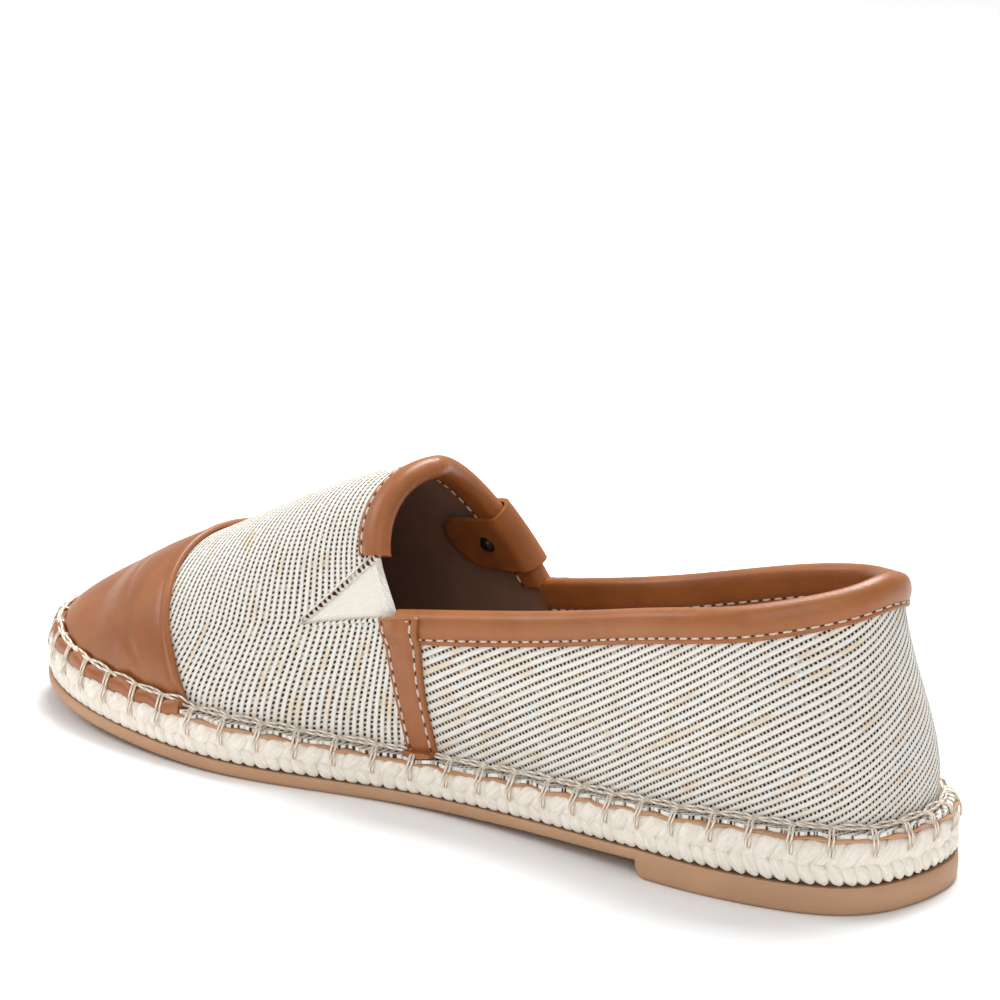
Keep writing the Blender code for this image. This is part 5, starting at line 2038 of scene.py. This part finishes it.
@dataclass
class ToeCap:
    """Leather toe cap, drawn down over the flange."""

    form: ShoeForm
    palette: Palette
    upper: WovenUpper
    thickness: float = 0.0011
    rows: int = 110
    curls: tuple = (((-0.0001, -0.0021), (-0.0002, -0.0012), (-0.0003, -0.0002)),
                    ((0.0002, -0.0023), (0.0007, -0.0012), (0.0007, 0.0003)))

    def swell(self, side: int, shares: Array, parts: Array) -> Array:
        """Soft fullness and creases of the cap, off its even thickness.

        Args:
            side: -1 for the inner side, 1 for the outer.
            shares: shares of the side's run.
            parts: parts of the way up the wall.

        Returns:
            The distance off the even thickness.
        """
        form = self.form
        run = (shares - form.seam_share(side, parts)) * (form.run(-1) + form.run(1)) / 2
        bead = hump(run, 0.0011, 0.0006) * 0.00022 - hump(run, 0.0024, 0.0009) * 0.00022
        crease = -hump(run - 0.012 - 0.006 * parts, 0.0, 0.0022) * smooth(0.2, 0.7, parts) * 0.00022
        crease = crease - hump(run - 0.030 + 0.010 * parts, 0.0, 0.0030) * hump(parts, 0.5, 0.35) * 0.00018
        fold = -hump(parts, 0.16, 0.07) * ripple(run, 41, ((0.0096, 0.00012), (0.017, 0.00010)))
        fade = smooth(1.0, 0.93, shares) * smooth(2.0, 1.6, parts)
        return bead + (crease + fold - hump(parts, 0.10, 0.10) * 0.0002) * fade

    def half(self, side: int, shares: Array, parts: Array, out: float) -> Array:
        """Grid of one side of the cap: the curled edge, the flange, then the wall.

        Args:
            side: -1 for the inner side, 1 for the outer.
            shares: shares of the side's run.
            parts: parts of the way up the wall.
            out: distance off the skin.

        Returns:
            Lines by rows of points.
        """
        form = self.form
        share, part = np.meshgrid(shares, parts, indexing="ij")
        seam = form.seam_share(side, part)
        share = seam + (share - form.cap_start) * (1 - seam) / (1 - form.cap_start)
        outside = out > form.gap
        off = out + (self.swell(side, share, part) if outside else 0.0)
        wall = form.skin(side, share, part) + form.normal(side, share, part) * np.asarray(off)[..., None]
        flange = self.upper.flange(side, shares, out, reach=0.0002)
        run = self.upper.run_at(side, shares)
        if outside:
            phase = np.mod((run - self.upper.rope.phase) / self.upper.rope.pitch, 1.0)
            puff = np.sin(np.pi * phase) ** 0.7
            belly = np.sin(np.pi * np.clip(np.linspace(0.12, 1.0, flange.shape[1]), 0, 1)) ** 0.8
            flange[..., 2] += (puff[:, None] * 0.0010 - 0.0002) * belly[None]
        edge = form.flange_inset + 0.0003 + ripple(run, 9, ((0.0173, 0.00022), (0.0089, 0.00016)))
        curl = []
        for beyond, height in self.curls[outside]:
            plan = form.outline(side, shares, edge - beyond)
            curl.append(form.raised(plan, form.flange_top(plan) + height + self.upper.sway(run)))
        return np.concatenate((np.stack(curl, axis=1), flange, wall), axis=1)

    def build(self) -> bpy.types.Object:
        """Builds the cap from both halves joined over the middle and round the toe.

        Returns:
            The finished piece.
        """
        form = self.form
        shares = np.concatenate((form.cap_start + np.array((0.0, 0.0006, 0.0015)),
                                 np.linspace(form.cap_start + 0.003, 1.0, 150)))
        parts = np.linspace(0, 2, self.rows)
        made = Fabricated()
        layers = []
        for out in (form.gap + self.thickness, form.gap):
            halves = [self.half(side, shares, parts, out) for side in (-1, 1)]
            layers.append(np.concatenate((halves[0], halves[1][:, -2::-1]), axis=1))
        outer, inner = layers
        outer[0] = outer[0] * 0.35 + inner[0] * 0.65
        outer[1] = outer[1] * 0.85 + inner[1] * 0.15
        outer[:, 0] = outer[:, 0] * 0.4 + inner[:, 0] * 0.6
        outer[:, -1] = outer[:, -1] * 0.4 + inner[:, -1] * 0.6
        made.block(outer, inner)
        return made.build(form, "toe_cap_leather", [self.palette.leather], Slot.LEATHER, ["toe_cap"],
                          weld=4e-6)


@dataclass
class Binding:
    """Padded leather folded over an edge of the upper; the base of the collar and throat bindings."""

    form: ShoeForm
    palette: Palette
    band: float = 0.0062
    inner_band: float = 0.0068
    inner_clear: float = 0.0003
    seam_in: float = 0.0012

    def profile(self) -> Array:
        """Section as distances down from the edge and out from the skin, all the way round.

        Returns:
            One row of two distances for each corner of the section.
        """
        band, back = self.band, self.inner_band
        deep = self.form.wall + self.inner_clear
        rows = [(band - 0.0002, 0.00030), (band + 0.00005, 0.00050), (band, 0.00085),
                (band - 0.0003, 0.00105),
                (band - self.seam_in + 0.0004, 0.00112), (band - self.seam_in, 0.00092),
                (band - self.seam_in - 0.0004, 0.00115), (band - self.seam_in - 0.0011, 0.00150),
                (band * 0.45, 0.00178), (band * 0.22, 0.00180), (0.0, 0.00150), (-0.0008, 0.00095),
                (-0.0014, 0.0001), (-0.0017, -deep / 2 - 0.0001), (-0.0014, -deep - 0.0002),
                (-0.0008, -deep - 0.0009),
                (0.0, -deep - 0.00125), (back * 0.3, -deep - 0.00145), (back * 0.6, -deep - 0.00140),
                (back - self.seam_in - 0.0006, -deep - 0.00112), (back - self.seam_in, -deep - 0.00090),
                (back - self.seam_in + 0.0005, -deep - 0.00108), (back - 0.0003, -deep - 0.00100),
                (back, -deep - 0.0007), (back, -deep - 0.0002)]
        curve = Curve(run_of(np.array(rows)), rows)
        return curve(np.linspace(0, curve.knots[-1], 64))

    def section(self, line: Array, normals: Array, profile: Array) -> Array:
        """Places the section on one line of skin points that leaves the edge.

        Args:
            line: points that leave the edge.
            normals: their normals.
            profile: the section's distances.

        Returns:
            The points of the section.
        """
        run = run_of(line)
        down = np.clip(profile[:, 0], 0, run[-1])
        base = np.stack([np.interp(down, run, line[:, axis]) for axis in range(3)], axis=1)
        normal = unit(np.stack([np.interp(down, run, normals[:, axis]) for axis in range(3)], axis=1))
        away = unit(line[0] - line[1])
        return base + away * np.clip(-profile[:, :1], 0, None) + normal * profile[:, 1:]

    def sweep(self, lines: Array, normals: Array) -> Array:
        """Grid of the binding over every line."""
        profile = self.profile()
        return np.stack([self.section(line, normal, profile) for line, normal in zip(lines, normals)])

    def seam_path(self, lines: Array, normals: Array, down: float, out: float) -> tuple[Array, Array]:
        """Path on the binding's face at a distance from the edge, with its normals.

        Args:
            lines: lines of skin points that leave the edge.
            normals: the skin's normals at the points.
            down: distance from the edge.
            out: distance off the skin.

        Returns:
            The points of the path and their normals.
        """
        spot = np.array(((down, out),))
        path = np.array([self.section(line, normal, spot)[0] for line, normal in zip(lines, normals)])
        facing = np.array([unit(np.array([np.interp(down, run_of(line),
                                                    normal[:, axis]) for axis in range(3)]))
                           for line, normal in zip(lines, normals)])
        return path, facing * np.sign(out)

    def dress(self, name: str, node: str, lines: Array, normals: Array) -> bpy.types.Object:
        """Builds the binding with both of its stitch rows and closed ends.

        Args:
            name: the piece's name.
            node: the node that the piece replaces.
            lines: lines of skin points that leave the edge.
            normals: the skin's normals at the points.

        Returns:
            The finished piece.
        """
        made = Fabricated()
        grid = self.sweep(lines, normals)
        made.grid(grid, wrap_rows=True)
        sides = grid.shape[1]
        total = made.count
        made.faces.extend([tuple(range(sides))[::-1], tuple(range(total - sides, total))])
        made.marks.extend([0, 0])
        seam = Seam(self.palette)
        deep = self.form.wall + self.inner_clear
        for down, out in ((self.band - self.seam_in, 0.00098),
                          (self.inner_band - self.seam_in, -deep - 0.00096)):
            seam.add(made, *self.seam_path(lines, normals, down, out))
        palette = self.palette
        return made.build(self.form, name, [palette.leather, palette.thread, palette.hole], Slot.LEATHER,
                          [node], outwards=True, sharp=60.0)


@dataclass
class CollarBinding(Binding):
    """Binding round the heel from one side strip to the other."""

    stations: int = 330

    def build(self) -> bpy.types.Object:
        """Builds the collar binding.

        Returns:
            The finished piece.
        """
        form = self.form
        shares = np.linspace(0, form.throat - 1e-5, self.stations // 2)
        parts = np.linspace(1, 0.55, 34)
        lines, normals = [], []
        for side in (-1, 1):
            where, up = np.meshgrid(shares, parts, indexing="ij")
            lines.append(form.skin(side, where, up))
            normals.append(form.normal(side, where, up))
        return self.dress("collar_binding", "quarter_binding",
                          np.concatenate((lines[0][::-1], lines[1][1:])),
                          np.concatenate((normals[0][::-1], normals[1][1:])))


@dataclass
class ThroatBinding(Binding):
    """Binding over the throat edge from gore to gore."""

    band: float = 0.0060
    stations: int = 90
    openings: tuple = (0.0142, 0.0006)

    def build(self) -> bpy.types.Object:
        """Builds the throat binding.

        Returns:
            The finished piece.
        """
        form = self.form
        halves = []
        for side in (-1, 1):
            parts = np.linspace(1, 2, 200)
            run = run_of(form.skin(side, np.full(200, form.throat), parts))
            start = self.openings[(side + 1) // 2]
            where = np.interp(np.linspace(start, run[-1], self.stations), run, parts)
            shares = form.throat + np.linspace(0, 0.016 / form.run(side), 30)
            up, along = np.meshgrid(where, shares, indexing="ij")
            along = along + form.throat_lean(side, up) / form.run(side)
            halves.append((form.skin(side, along, up), form.normal(side, along, up)))
        lines = np.concatenate((halves[0][0], halves[1][0][-2::-1]))
        normals = np.concatenate((halves[0][1], halves[1][1][-2::-1]))
        return self.dress("throat_binding", "vamp_binding", lines, normals)


@dataclass
class SideStrip:
    """Leather strip from the collar down over the flange, stitched down both sides."""

    form: ShoeForm
    palette: Palette
    upper: WovenUpper
    seam_in: float = 0.0012

    def edges(self, parts: Array) -> tuple[Array, Array]:
        """Distances of the strip's rear and front edge ahead of the throat."""
        return 0.0030 - 0.0087 * parts, 0.0107 - 0.0061 * parts

    def at(self, side: int, across: Array, parts: Array) -> tuple[Array, Array]:
        """Share and part of places on the strip.

        Args:
            side: -1 or 1.
            across: 0 at the strip's rear edge, 1 at its front edge.
            parts: 0 at the strip's foot, 1 at its top.

        Returns:
            The shares and the parts on the skin.
        """
        round_off = np.clip((np.abs(2 * across - 1) - 0.66) / 0.34, 0, 1)
        top = 1.018 - 0.020 * across - 0.030 * (1 - np.sqrt(1 - round_off ** 2))
        parts = parts * top
        rear, front = self.edges(parts)
        return self.form.throat + (rear + (front - rear) * across) / self.form.run(side), parts

    def over(self, side: int, shares: Array, parts: Array) -> Array:
        """How far the collar binding lifts the strip."""
        ahead = (shares - self.form.throat) * self.form.run(side)
        return (0.0016 - 0.0005 * smooth(0.0, 0.006, ahead)) * smooth(0.74, 0.90, parts)

    def layer(self, side: int, across: Array, parts: Array, out: Array) -> Array:
        """Grid of the strip over the flange and up the wall, at heights off the skin.

        Args:
            side: -1 for the inner side, 1 for the outer.
            across: 0 at the strip's rear edge, 1 at its front edge.
            parts: 0 at the strip's foot, 1 at its top.
            out: heights off the skin.

        Returns:
            Lines by rows of points.
        """
        form = self.form
        foot = self.at(side, across, np.zeros_like(across))[0]
        flange = np.stack([self.upper.flange(side, np.array([share]), off, reach=1e-6)[0]
                           for share, off in zip(foot, out)], axis=0)
        grid_across, grid_parts = np.meshgrid(across, parts, indexing="ij")
        shares, parts = self.at(side, grid_across, grid_parts)
        off = out[:, None] + self.over(side, shares, parts)
        facing = form.normal(side, shares, np.minimum(parts, 0.985))
        wall = form.skin(side, shares, parts) + facing * off[..., None]
        return np.concatenate((flange, wall), axis=1)

    def build(self, side: Side) -> bpy.types.Object:
        """Builds one strip with its three rows of stitches.

        Args:
            side: the side that it lies on.

        Returns:
            The finished piece.
        """
        form, sign = self.form, side.value
        left = np.array(((0.0, 0.0004), (0.001, 0.0008), (0.03, 0.00115), (0.08, 0.00130), (0.14, 0.00112),
                         (0.20, 0.00135), (0.33, 0.00150), (0.50, 0.00155)))
        profile = np.concatenate((left, left[::-1][1:] * (-1, 1) + (1, 0)))
        curve = Curve(run_of(profile * (form.strip_width, 1.0)), profile)
        across, out = curve(np.linspace(0, curve.knots[-1], 36)).T
        across = np.clip(across, 0.0, 1.0)
        parts = np.concatenate((np.linspace(0, 0.97, 60), (0.982, 0.992, 1.0)))
        outer = self.layer(sign, across, parts, out)
        inner = self.layer(sign, across, parts, np.full(len(out), form.gap))
        outer[:, -1] = outer[:, -1] * 0.30 + inner[:, -1] * 0.70
        outer[:, -2] = outer[:, -2] * 0.85 + inner[:, -2] * 0.15
        outer[:, 0] = outer[:, 0] * 0.4 + inner[:, 0] * 0.6
        made = Fabricated()
        made.block(outer, inner)
        seam, inset = Seam(self.palette), 0.14
        up = np.linspace(0.03, 0.955, 60)
        for place in (inset, 1 - inset):
            self._stitch(made, seam, sign, np.full(60, place), up)
        self._stitch(made, seam, sign, np.linspace(inset, 1 - inset, 20), np.full(20, 0.965))
        word, palette = side.name.lower(), self.palette
        return made.build(form, f"side_strip_leather_{word}",
                          [palette.leather, palette.thread, palette.hole],
                          Slot.LEATHER, [f"side_strip_{word}"], sharp=60.0)

    def _stitch(self, made: Fabricated, seam: Seam, side: int, across: Array, parts: Array) -> None:
        """Adds one row of stitches on the strip.

        Args:
            made: the mesh that gains them.
            seam: the thread and its pitch.
            side: -1 for the inner side, 1 for the outer.
            across: 0 at the strip's rear edge, 1 at its front edge.
            parts: 0 at the strip's foot, 1 at its top.
        """
        shares, parts = self.at(side, across, parts)
        normals = self.form.normal(side, shares, np.minimum(parts, 0.985))
        off = 0.00116 + self.over(side, shares, parts)
        seam.add(made, self.form.skin(side, shares, parts) + normals * off[:, None], normals)


@dataclass
class Gore:
    """Elastic behind the V cut, with the cloth's folded hem along both edges."""

    form: ShoeForm
    palette: Palette
    margin: float = 0.0040
    set_in: tuple = (0.0010, 0.0050)

    def build(self, side: Side) -> list[bpy.types.Object]:
        """Builds the elastic and both hems of one side."""
        sign, word = side.value, side.name.lower()
        return [self.elastic(sign, word), self.hems(sign, word)]

    def elastic(self, side: int, word: str) -> bpy.types.Object:
        """Builds the elastic, folded at the opening and swelling a little in the V.

        Args:
            side: -1 for the inner side, 1 for the outer.
            word: the side's word in the names.

        Returns:
            The finished piece.
        """
        form = self.form
        low, tip, high = form.gore_corners(side)
        end = tip[1] + self.margin
        last = form.throat
        while form.skin(side, np.array(last), np.array(1.0))[1] < end:
            last += 0.002
        lines = np.concatenate(((0.0, 0.006, 0.014, 0.026, 0.040), np.linspace(0.06, 1.0, 56)))
        dense = np.linspace(0, 2, 300)
        count = 60
        points, normals, out, back = [], [], [], []
        for place in lines:
            share = form.throat + (last - form.throat) * place
            line = form.skin(side, np.full(300, share), dense)
            bottom = np.interp(line[:, 1], (low[1], tip[1]), (low[2], tip[2])) - self.margin
            top = np.interp(line[:, 1], (high[1], tip[1]), (high[2], tip[2])) + self.margin
            inside = dense[(line[:, 2] >= bottom) & (line[:, 2] <= top)]
            rows = np.linspace(inside[0], inside[-1], count)
            inset = self.set_in[(side + 1) // 2] + form.throat_lean(side, rows)
            shares = share + inset / form.run(side) * (1 - place)
            spot = form.skin(side, shares, rows)
            within = np.minimum(spot[:, 2] - np.interp(spot[:, 1], (low[1], tip[1]), (low[2], tip[2])),
                                np.interp(spot[:, 1], (high[1], tip[1]), (high[2], tip[2])) - spot[:, 2])
            run = place * (last - form.throat) * form.run(side)
            swell = smooth(-0.0003, 0.0020, within)
            face = -0.00045 + swell * 0.00085 - hump(run, 0.0012, 0.00022) * 0.00016 - hump(run, 0.0026,
                                                                                            0.00025) * 0.0002
            edge = float(smooth(0.0, 0.0009, np.array(run)))
            fold = float(smooth(0.0034, 0.0026, np.array(run)))
            out.append(-0.0008 * (1 - edge) + face * edge)
            back.append(np.full(count, -0.0009 - (0.0009 if side == -1 else 0.0) * edge * fold))
            points.append(spot)
            normals.append(form.normal(side, shares, rows))
        points, normals = np.array(points), np.array(normals)
        lay = points[..., (1, 2, 0)] / MM
        lay[..., 2] = 0.0
        made = Fabricated()
        made.block(points + normals * np.array(out)[..., None], points + normals * np.array(back)[..., None],
                   lay)
        return made.build(form, f"elastic_{word}", [self.palette.elastic], Slot.ELASTIC, [f"gore_{word}"],
                          sharp=60.0)

    def hems(self, side: int, word: str) -> bpy.types.Object:
        """Builds the cloth folded back along both edges of the V.

        Args:
            side: -1 for the inner side, 1 for the outer.
            word: the side's word in the names.

        Returns:
            The finished piece.
        """
        form = self.form
        low, tip, high = form.gore_corners(side)
        made = Fabricated()
        profile = ((-0.06, -0.0009), (-0.16, -0.0002), (-0.08, 0.00038), (0.25, 0.00058), (0.65, 0.00052),
                   (1.0, 0.00028), (1.08, -0.0001))
        for start, end, way, guess, wide in ((low, tip, -1.0, 0.9, 0.0009), (high, tip, 1.0, 1.4, 0.0017)):
            reach = np.linspace(0.10 if side == -1 else 0.02, 0.985, 60)
            line = start[1:] + (end - start)[1:] * reach[:, None]
            direction = unit((end - start)[1:])
            side_way = np.array((-direction[1], direction[0]))
            side_way = side_way * np.sign(side_way[1]) * way
            slim = wide * (1 - 0.45 * reach ** 2) * np.sqrt(np.clip((1.0 - reach) / 0.06, 0.05, 1.0))
            grid, lays = [], []
            for off, out in profile:
                spots = line + side_way * (slim * off)[:, None]
                shares, parts = form.locate(side, spots[:, 0], spots[:, 1], form.throat + 0.03, guess)
                points = form.skin(side, shares, parts) + form.normal(side, shares, parts) * out
                grid.append(points)
                if way > 0:
                    lays.append(np.stack((np.full(60, 0.68 + off * 0.55), run_of(points) / MM / 1.5,
                                          np.full(60, 0.1)), axis=1))
                else:
                    lays.append(np.stack((spots[:, 0] / MM / 1.69, np.full(60, off * 0.5), np.full(60, 0.1)),
                                         axis=1))
            made.grid(np.stack(grid, axis=1), np.stack(lays, axis=1))
        return made.build(form, f"gore_hem_{word}", [self.palette.cloth], Slot.TEXTILE, outwards=False,
                          sharp=80.0)


@dataclass
class PullTab:
    """Leather tab folded over the outer side of the throat, with its rivet."""

    form: ShoeForm
    palette: Palette
    width: float = 0.0160
    reach: float = 0.0208
    centre_height: float = 0.0534
    rivet_radius: float = 0.0019
    rivet_from_edge: float = 0.0064
    outside: tuple = (0.00190, 0.0010)
    inside: tuple = (0.0035, 0.0032)
    stand: float = 0.0019

    def edge(self) -> tuple[Array, Array, Array, float]:
        """Parts, points and run of the throat edge, and the run at the tab's middle.

        Returns:
            The parts, the points, their run and the run at the tab's middle.
        """
        form = self.form
        parts = np.linspace(1, 2, 200)
        points = form.skin(1, np.full(200, form.throat), parts)
        run = run_of(points)
        return parts, points, run, float(np.interp(self.centre_height, points[:, 2], run))

    @staticmethod
    def hug(pair: tuple, down: Array) -> Array:
        """Distance off the skin over the binding and past it, at distances down from the edge."""
        return pair[1] + (pair[0] - pair[1]) * smooth(0.0092, 0.0062, down)

    def build(self) -> list[bpy.types.Object]:
        """Builds the tab and the rivet.

        Returns:
            The finished pieces.
        """
        form = self.form
        parts, _, run, middle = self.edge()
        across = np.sin(np.linspace(-np.pi / 2, np.pi / 2, 41)) * self.width / 2
        radius = self.width / 2
        made = Fabricated()
        near, far = [], []
        for off in across:
            part = float(np.interp(middle + off, run, parts))
            reach = self.reach - radius + np.sqrt(max(radius ** 2 - off ** 2, 0.0))
            near.append(self._line(part, reach, 0.0))
            far.append(self._line(part, reach, form.leather))
        near, far = np.array(near), np.array(far)
        far[:, 0] = far[:, 0] * 0.5 + near[:, 0] * 0.5
        far[:, -1] = far[:, -1] * 0.5 + near[:, -1] * 0.5
        made.block(far, near)
        tab = made.build(form, "tab_leather", [self.palette.leather], Slot.LEATHER, ["tab"], weld=2e-5,
                         sharp=60.0)
        return [tab, self.rivet(float(np.interp(middle, run, parts)), self.inside[0] + form.leather)]

    def _line(self, part: float, reach: float, more: float) -> Array:
        """One line of the tab from its outer end over the edge to its inner end.

        Args:
            part: where on the throat edge the line lies.
            reach: how far down each leaf goes from the edge.
            more: added distance off the binding.

        Returns:
            The points of the line.
        """
        form = self.form
        shares = form.throat + np.linspace(0, max(reach, 0.0005) * 1.7 / form.run(1), 60)
        line = form.skin(1, shares, np.full(60, part))
        normals = form.normal(1, shares, np.full(60, part))
        run = run_of(line)
        down = np.linspace(min(reach, run[-1]), 0.0, 18)
        base = np.stack([np.interp(down, run, line[:, axis]) for axis in range(3)], axis=1)
        normal = unit(np.stack([np.interp(down, run, normals[:, axis]) for axis in range(3)], axis=1))
        away = unit(line[0] - line[1])
        outside, inside = self.hug(self.outside, down), self.hug(self.inside, down)
        outer = base + normal * (outside + more)[:, None]
        middle = base[-1] + normal[-1] * (outside[-1] - inside[-1]) / 2
        half = (outside[-1] + inside[-1]) / 2 + more
        turns = np.linspace(0, np.pi, 11)[1:-1]
        over = np.array([middle + normal[-1] * half * np.cos(turn)
                         + away * (self.stand + more) * np.sin(turn) ** 0.8
                         for turn in turns])
        inner = base[::-1] - normal[::-1] * (inside[::-1] + more)[:, None]
        return np.concatenate((outer, over, inner))

    def rivet(self, part: float, depth: float) -> bpy.types.Object:
        """Builds the rivet's domed head on its washer.

        Args:
            part: where on the throat edge the rivet lies.
            depth: distance in from the skin.

        Returns:
            The finished piece.
        """
        form = self.form
        share = np.array(form.throat + self.rivet_from_edge * 1.02 / form.run(1))
        point = form.skin(1, share, np.array(part))
        into = -form.normal(1, share, np.array(part))
        base = point + into * depth
        first = unit(np.cross(into, (0.0, 0.0, 1.0)))
        second = np.cross(into, first)
        turn = np.linspace(0, 2 * np.pi, 48, endpoint=False)
        spin = first * np.cos(turn)[:, None] + second * np.sin(turn)[:, None]
        rows = ((1.10, -0.0002), (1.12, 0.00012), (1.05, 0.00028), (0.93, 0.00030), (0.90, 0.00040),
                (0.80, 0.00078), (0.60, 0.00110), (0.36, 0.00128), (0.16, 0.00134), (0.01, 0.00135))
        grid = np.array([base + spin * wide * self.rivet_radius + into * high for wide, high in rows])
        made = Fabricated()
        made.grid(grid, wrap_rows=True)
        return made.build(form, "tab_rivet_head", [self.palette.metal], Slot.METAL, ["tab_rivet"],
                          sharp=60.0)


@dataclass
class Footbed:
    """Cushioned insole under the foot."""

    form: ShoeForm
    palette: Palette
    thickness: float = 0.0025

    def build(self) -> bpy.types.Object:
        """Builds the insole, slightly dished and rounded at its edge.

        Returns:
            The finished piece.
        """
        form = self.form
        shares = np.linspace(0, 1, 160)
        inset = form.flange_inset + form.flange_reach + form.wall + form.gap
        made = Fabricated()
        rings = []
        for extra, rise in ((0.0010, 0.0), (0.0004, 0.0003), (0.0003, self.thickness * 0.75),
                            (0.0009, self.thickness * 0.97), (0.0020, self.thickness),
                            (0.0080, self.thickness * 0.98), (0.0160, self.thickness * 0.95)):
            ring = []
            for side in (-1, 1):
                plan = form.outline(side, shares, inset + extra)
                ring.append(form.raised(plan, form.rope_top(plan) + form.gap + rise))
            rings.append(np.concatenate((ring[0], ring[1][-2:0:-1])))
        grid = np.stack(rings, axis=1)
        made.grid(grid, wrap_lines=True)
        half = len(shares)
        for row, rise in ((0, 0.0), (-1, self.thickness * 0.95)):
            inner = grid[:half, row]
            outer = np.concatenate((grid[:1, row], grid[half:, row][::-1], grid[half - 1:half, row]))
            place = np.linspace(0, 1, 13)[None, :, None]
            sheet = inner[:, None] + (outer - inner)[:, None] * place
            sheet[..., 2] -= np.sin(np.pi * place[..., 0]) * rise * 0.15
            made.grid(sheet)
        piece = made.build(form, "footbed", [self.palette.footbed], Slot.LINING, ["insole"], weld=2e-6)
        return piece


def main() -> None:
    """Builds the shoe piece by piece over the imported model."""
    logging.basicConfig(level=logging.INFO, format="%(message)s")
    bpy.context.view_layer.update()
    Studio().build()
    form = ShoeForm()
    palette = Palette()
    rope = RopeMidsole(form, palette)
    upper = WovenUpper(form, palette, rope)
    Outsole(form, palette).build()
    rope.build()
    upper.build()
    BlanketStitch(form, palette, rope).build()
    ToeCap(form, palette, upper).build()
    CollarBinding(form, palette).build()
    ThroatBinding(form, palette).build()
    gore, strip = Gore(form, palette), SideStrip(form, palette, upper)
    for side in Side:
        gore.build(side)
        strip.build(side)
    PullTab(form, palette).build()
    Footbed(form, palette).build()


if __name__ == "__main__":
    main()
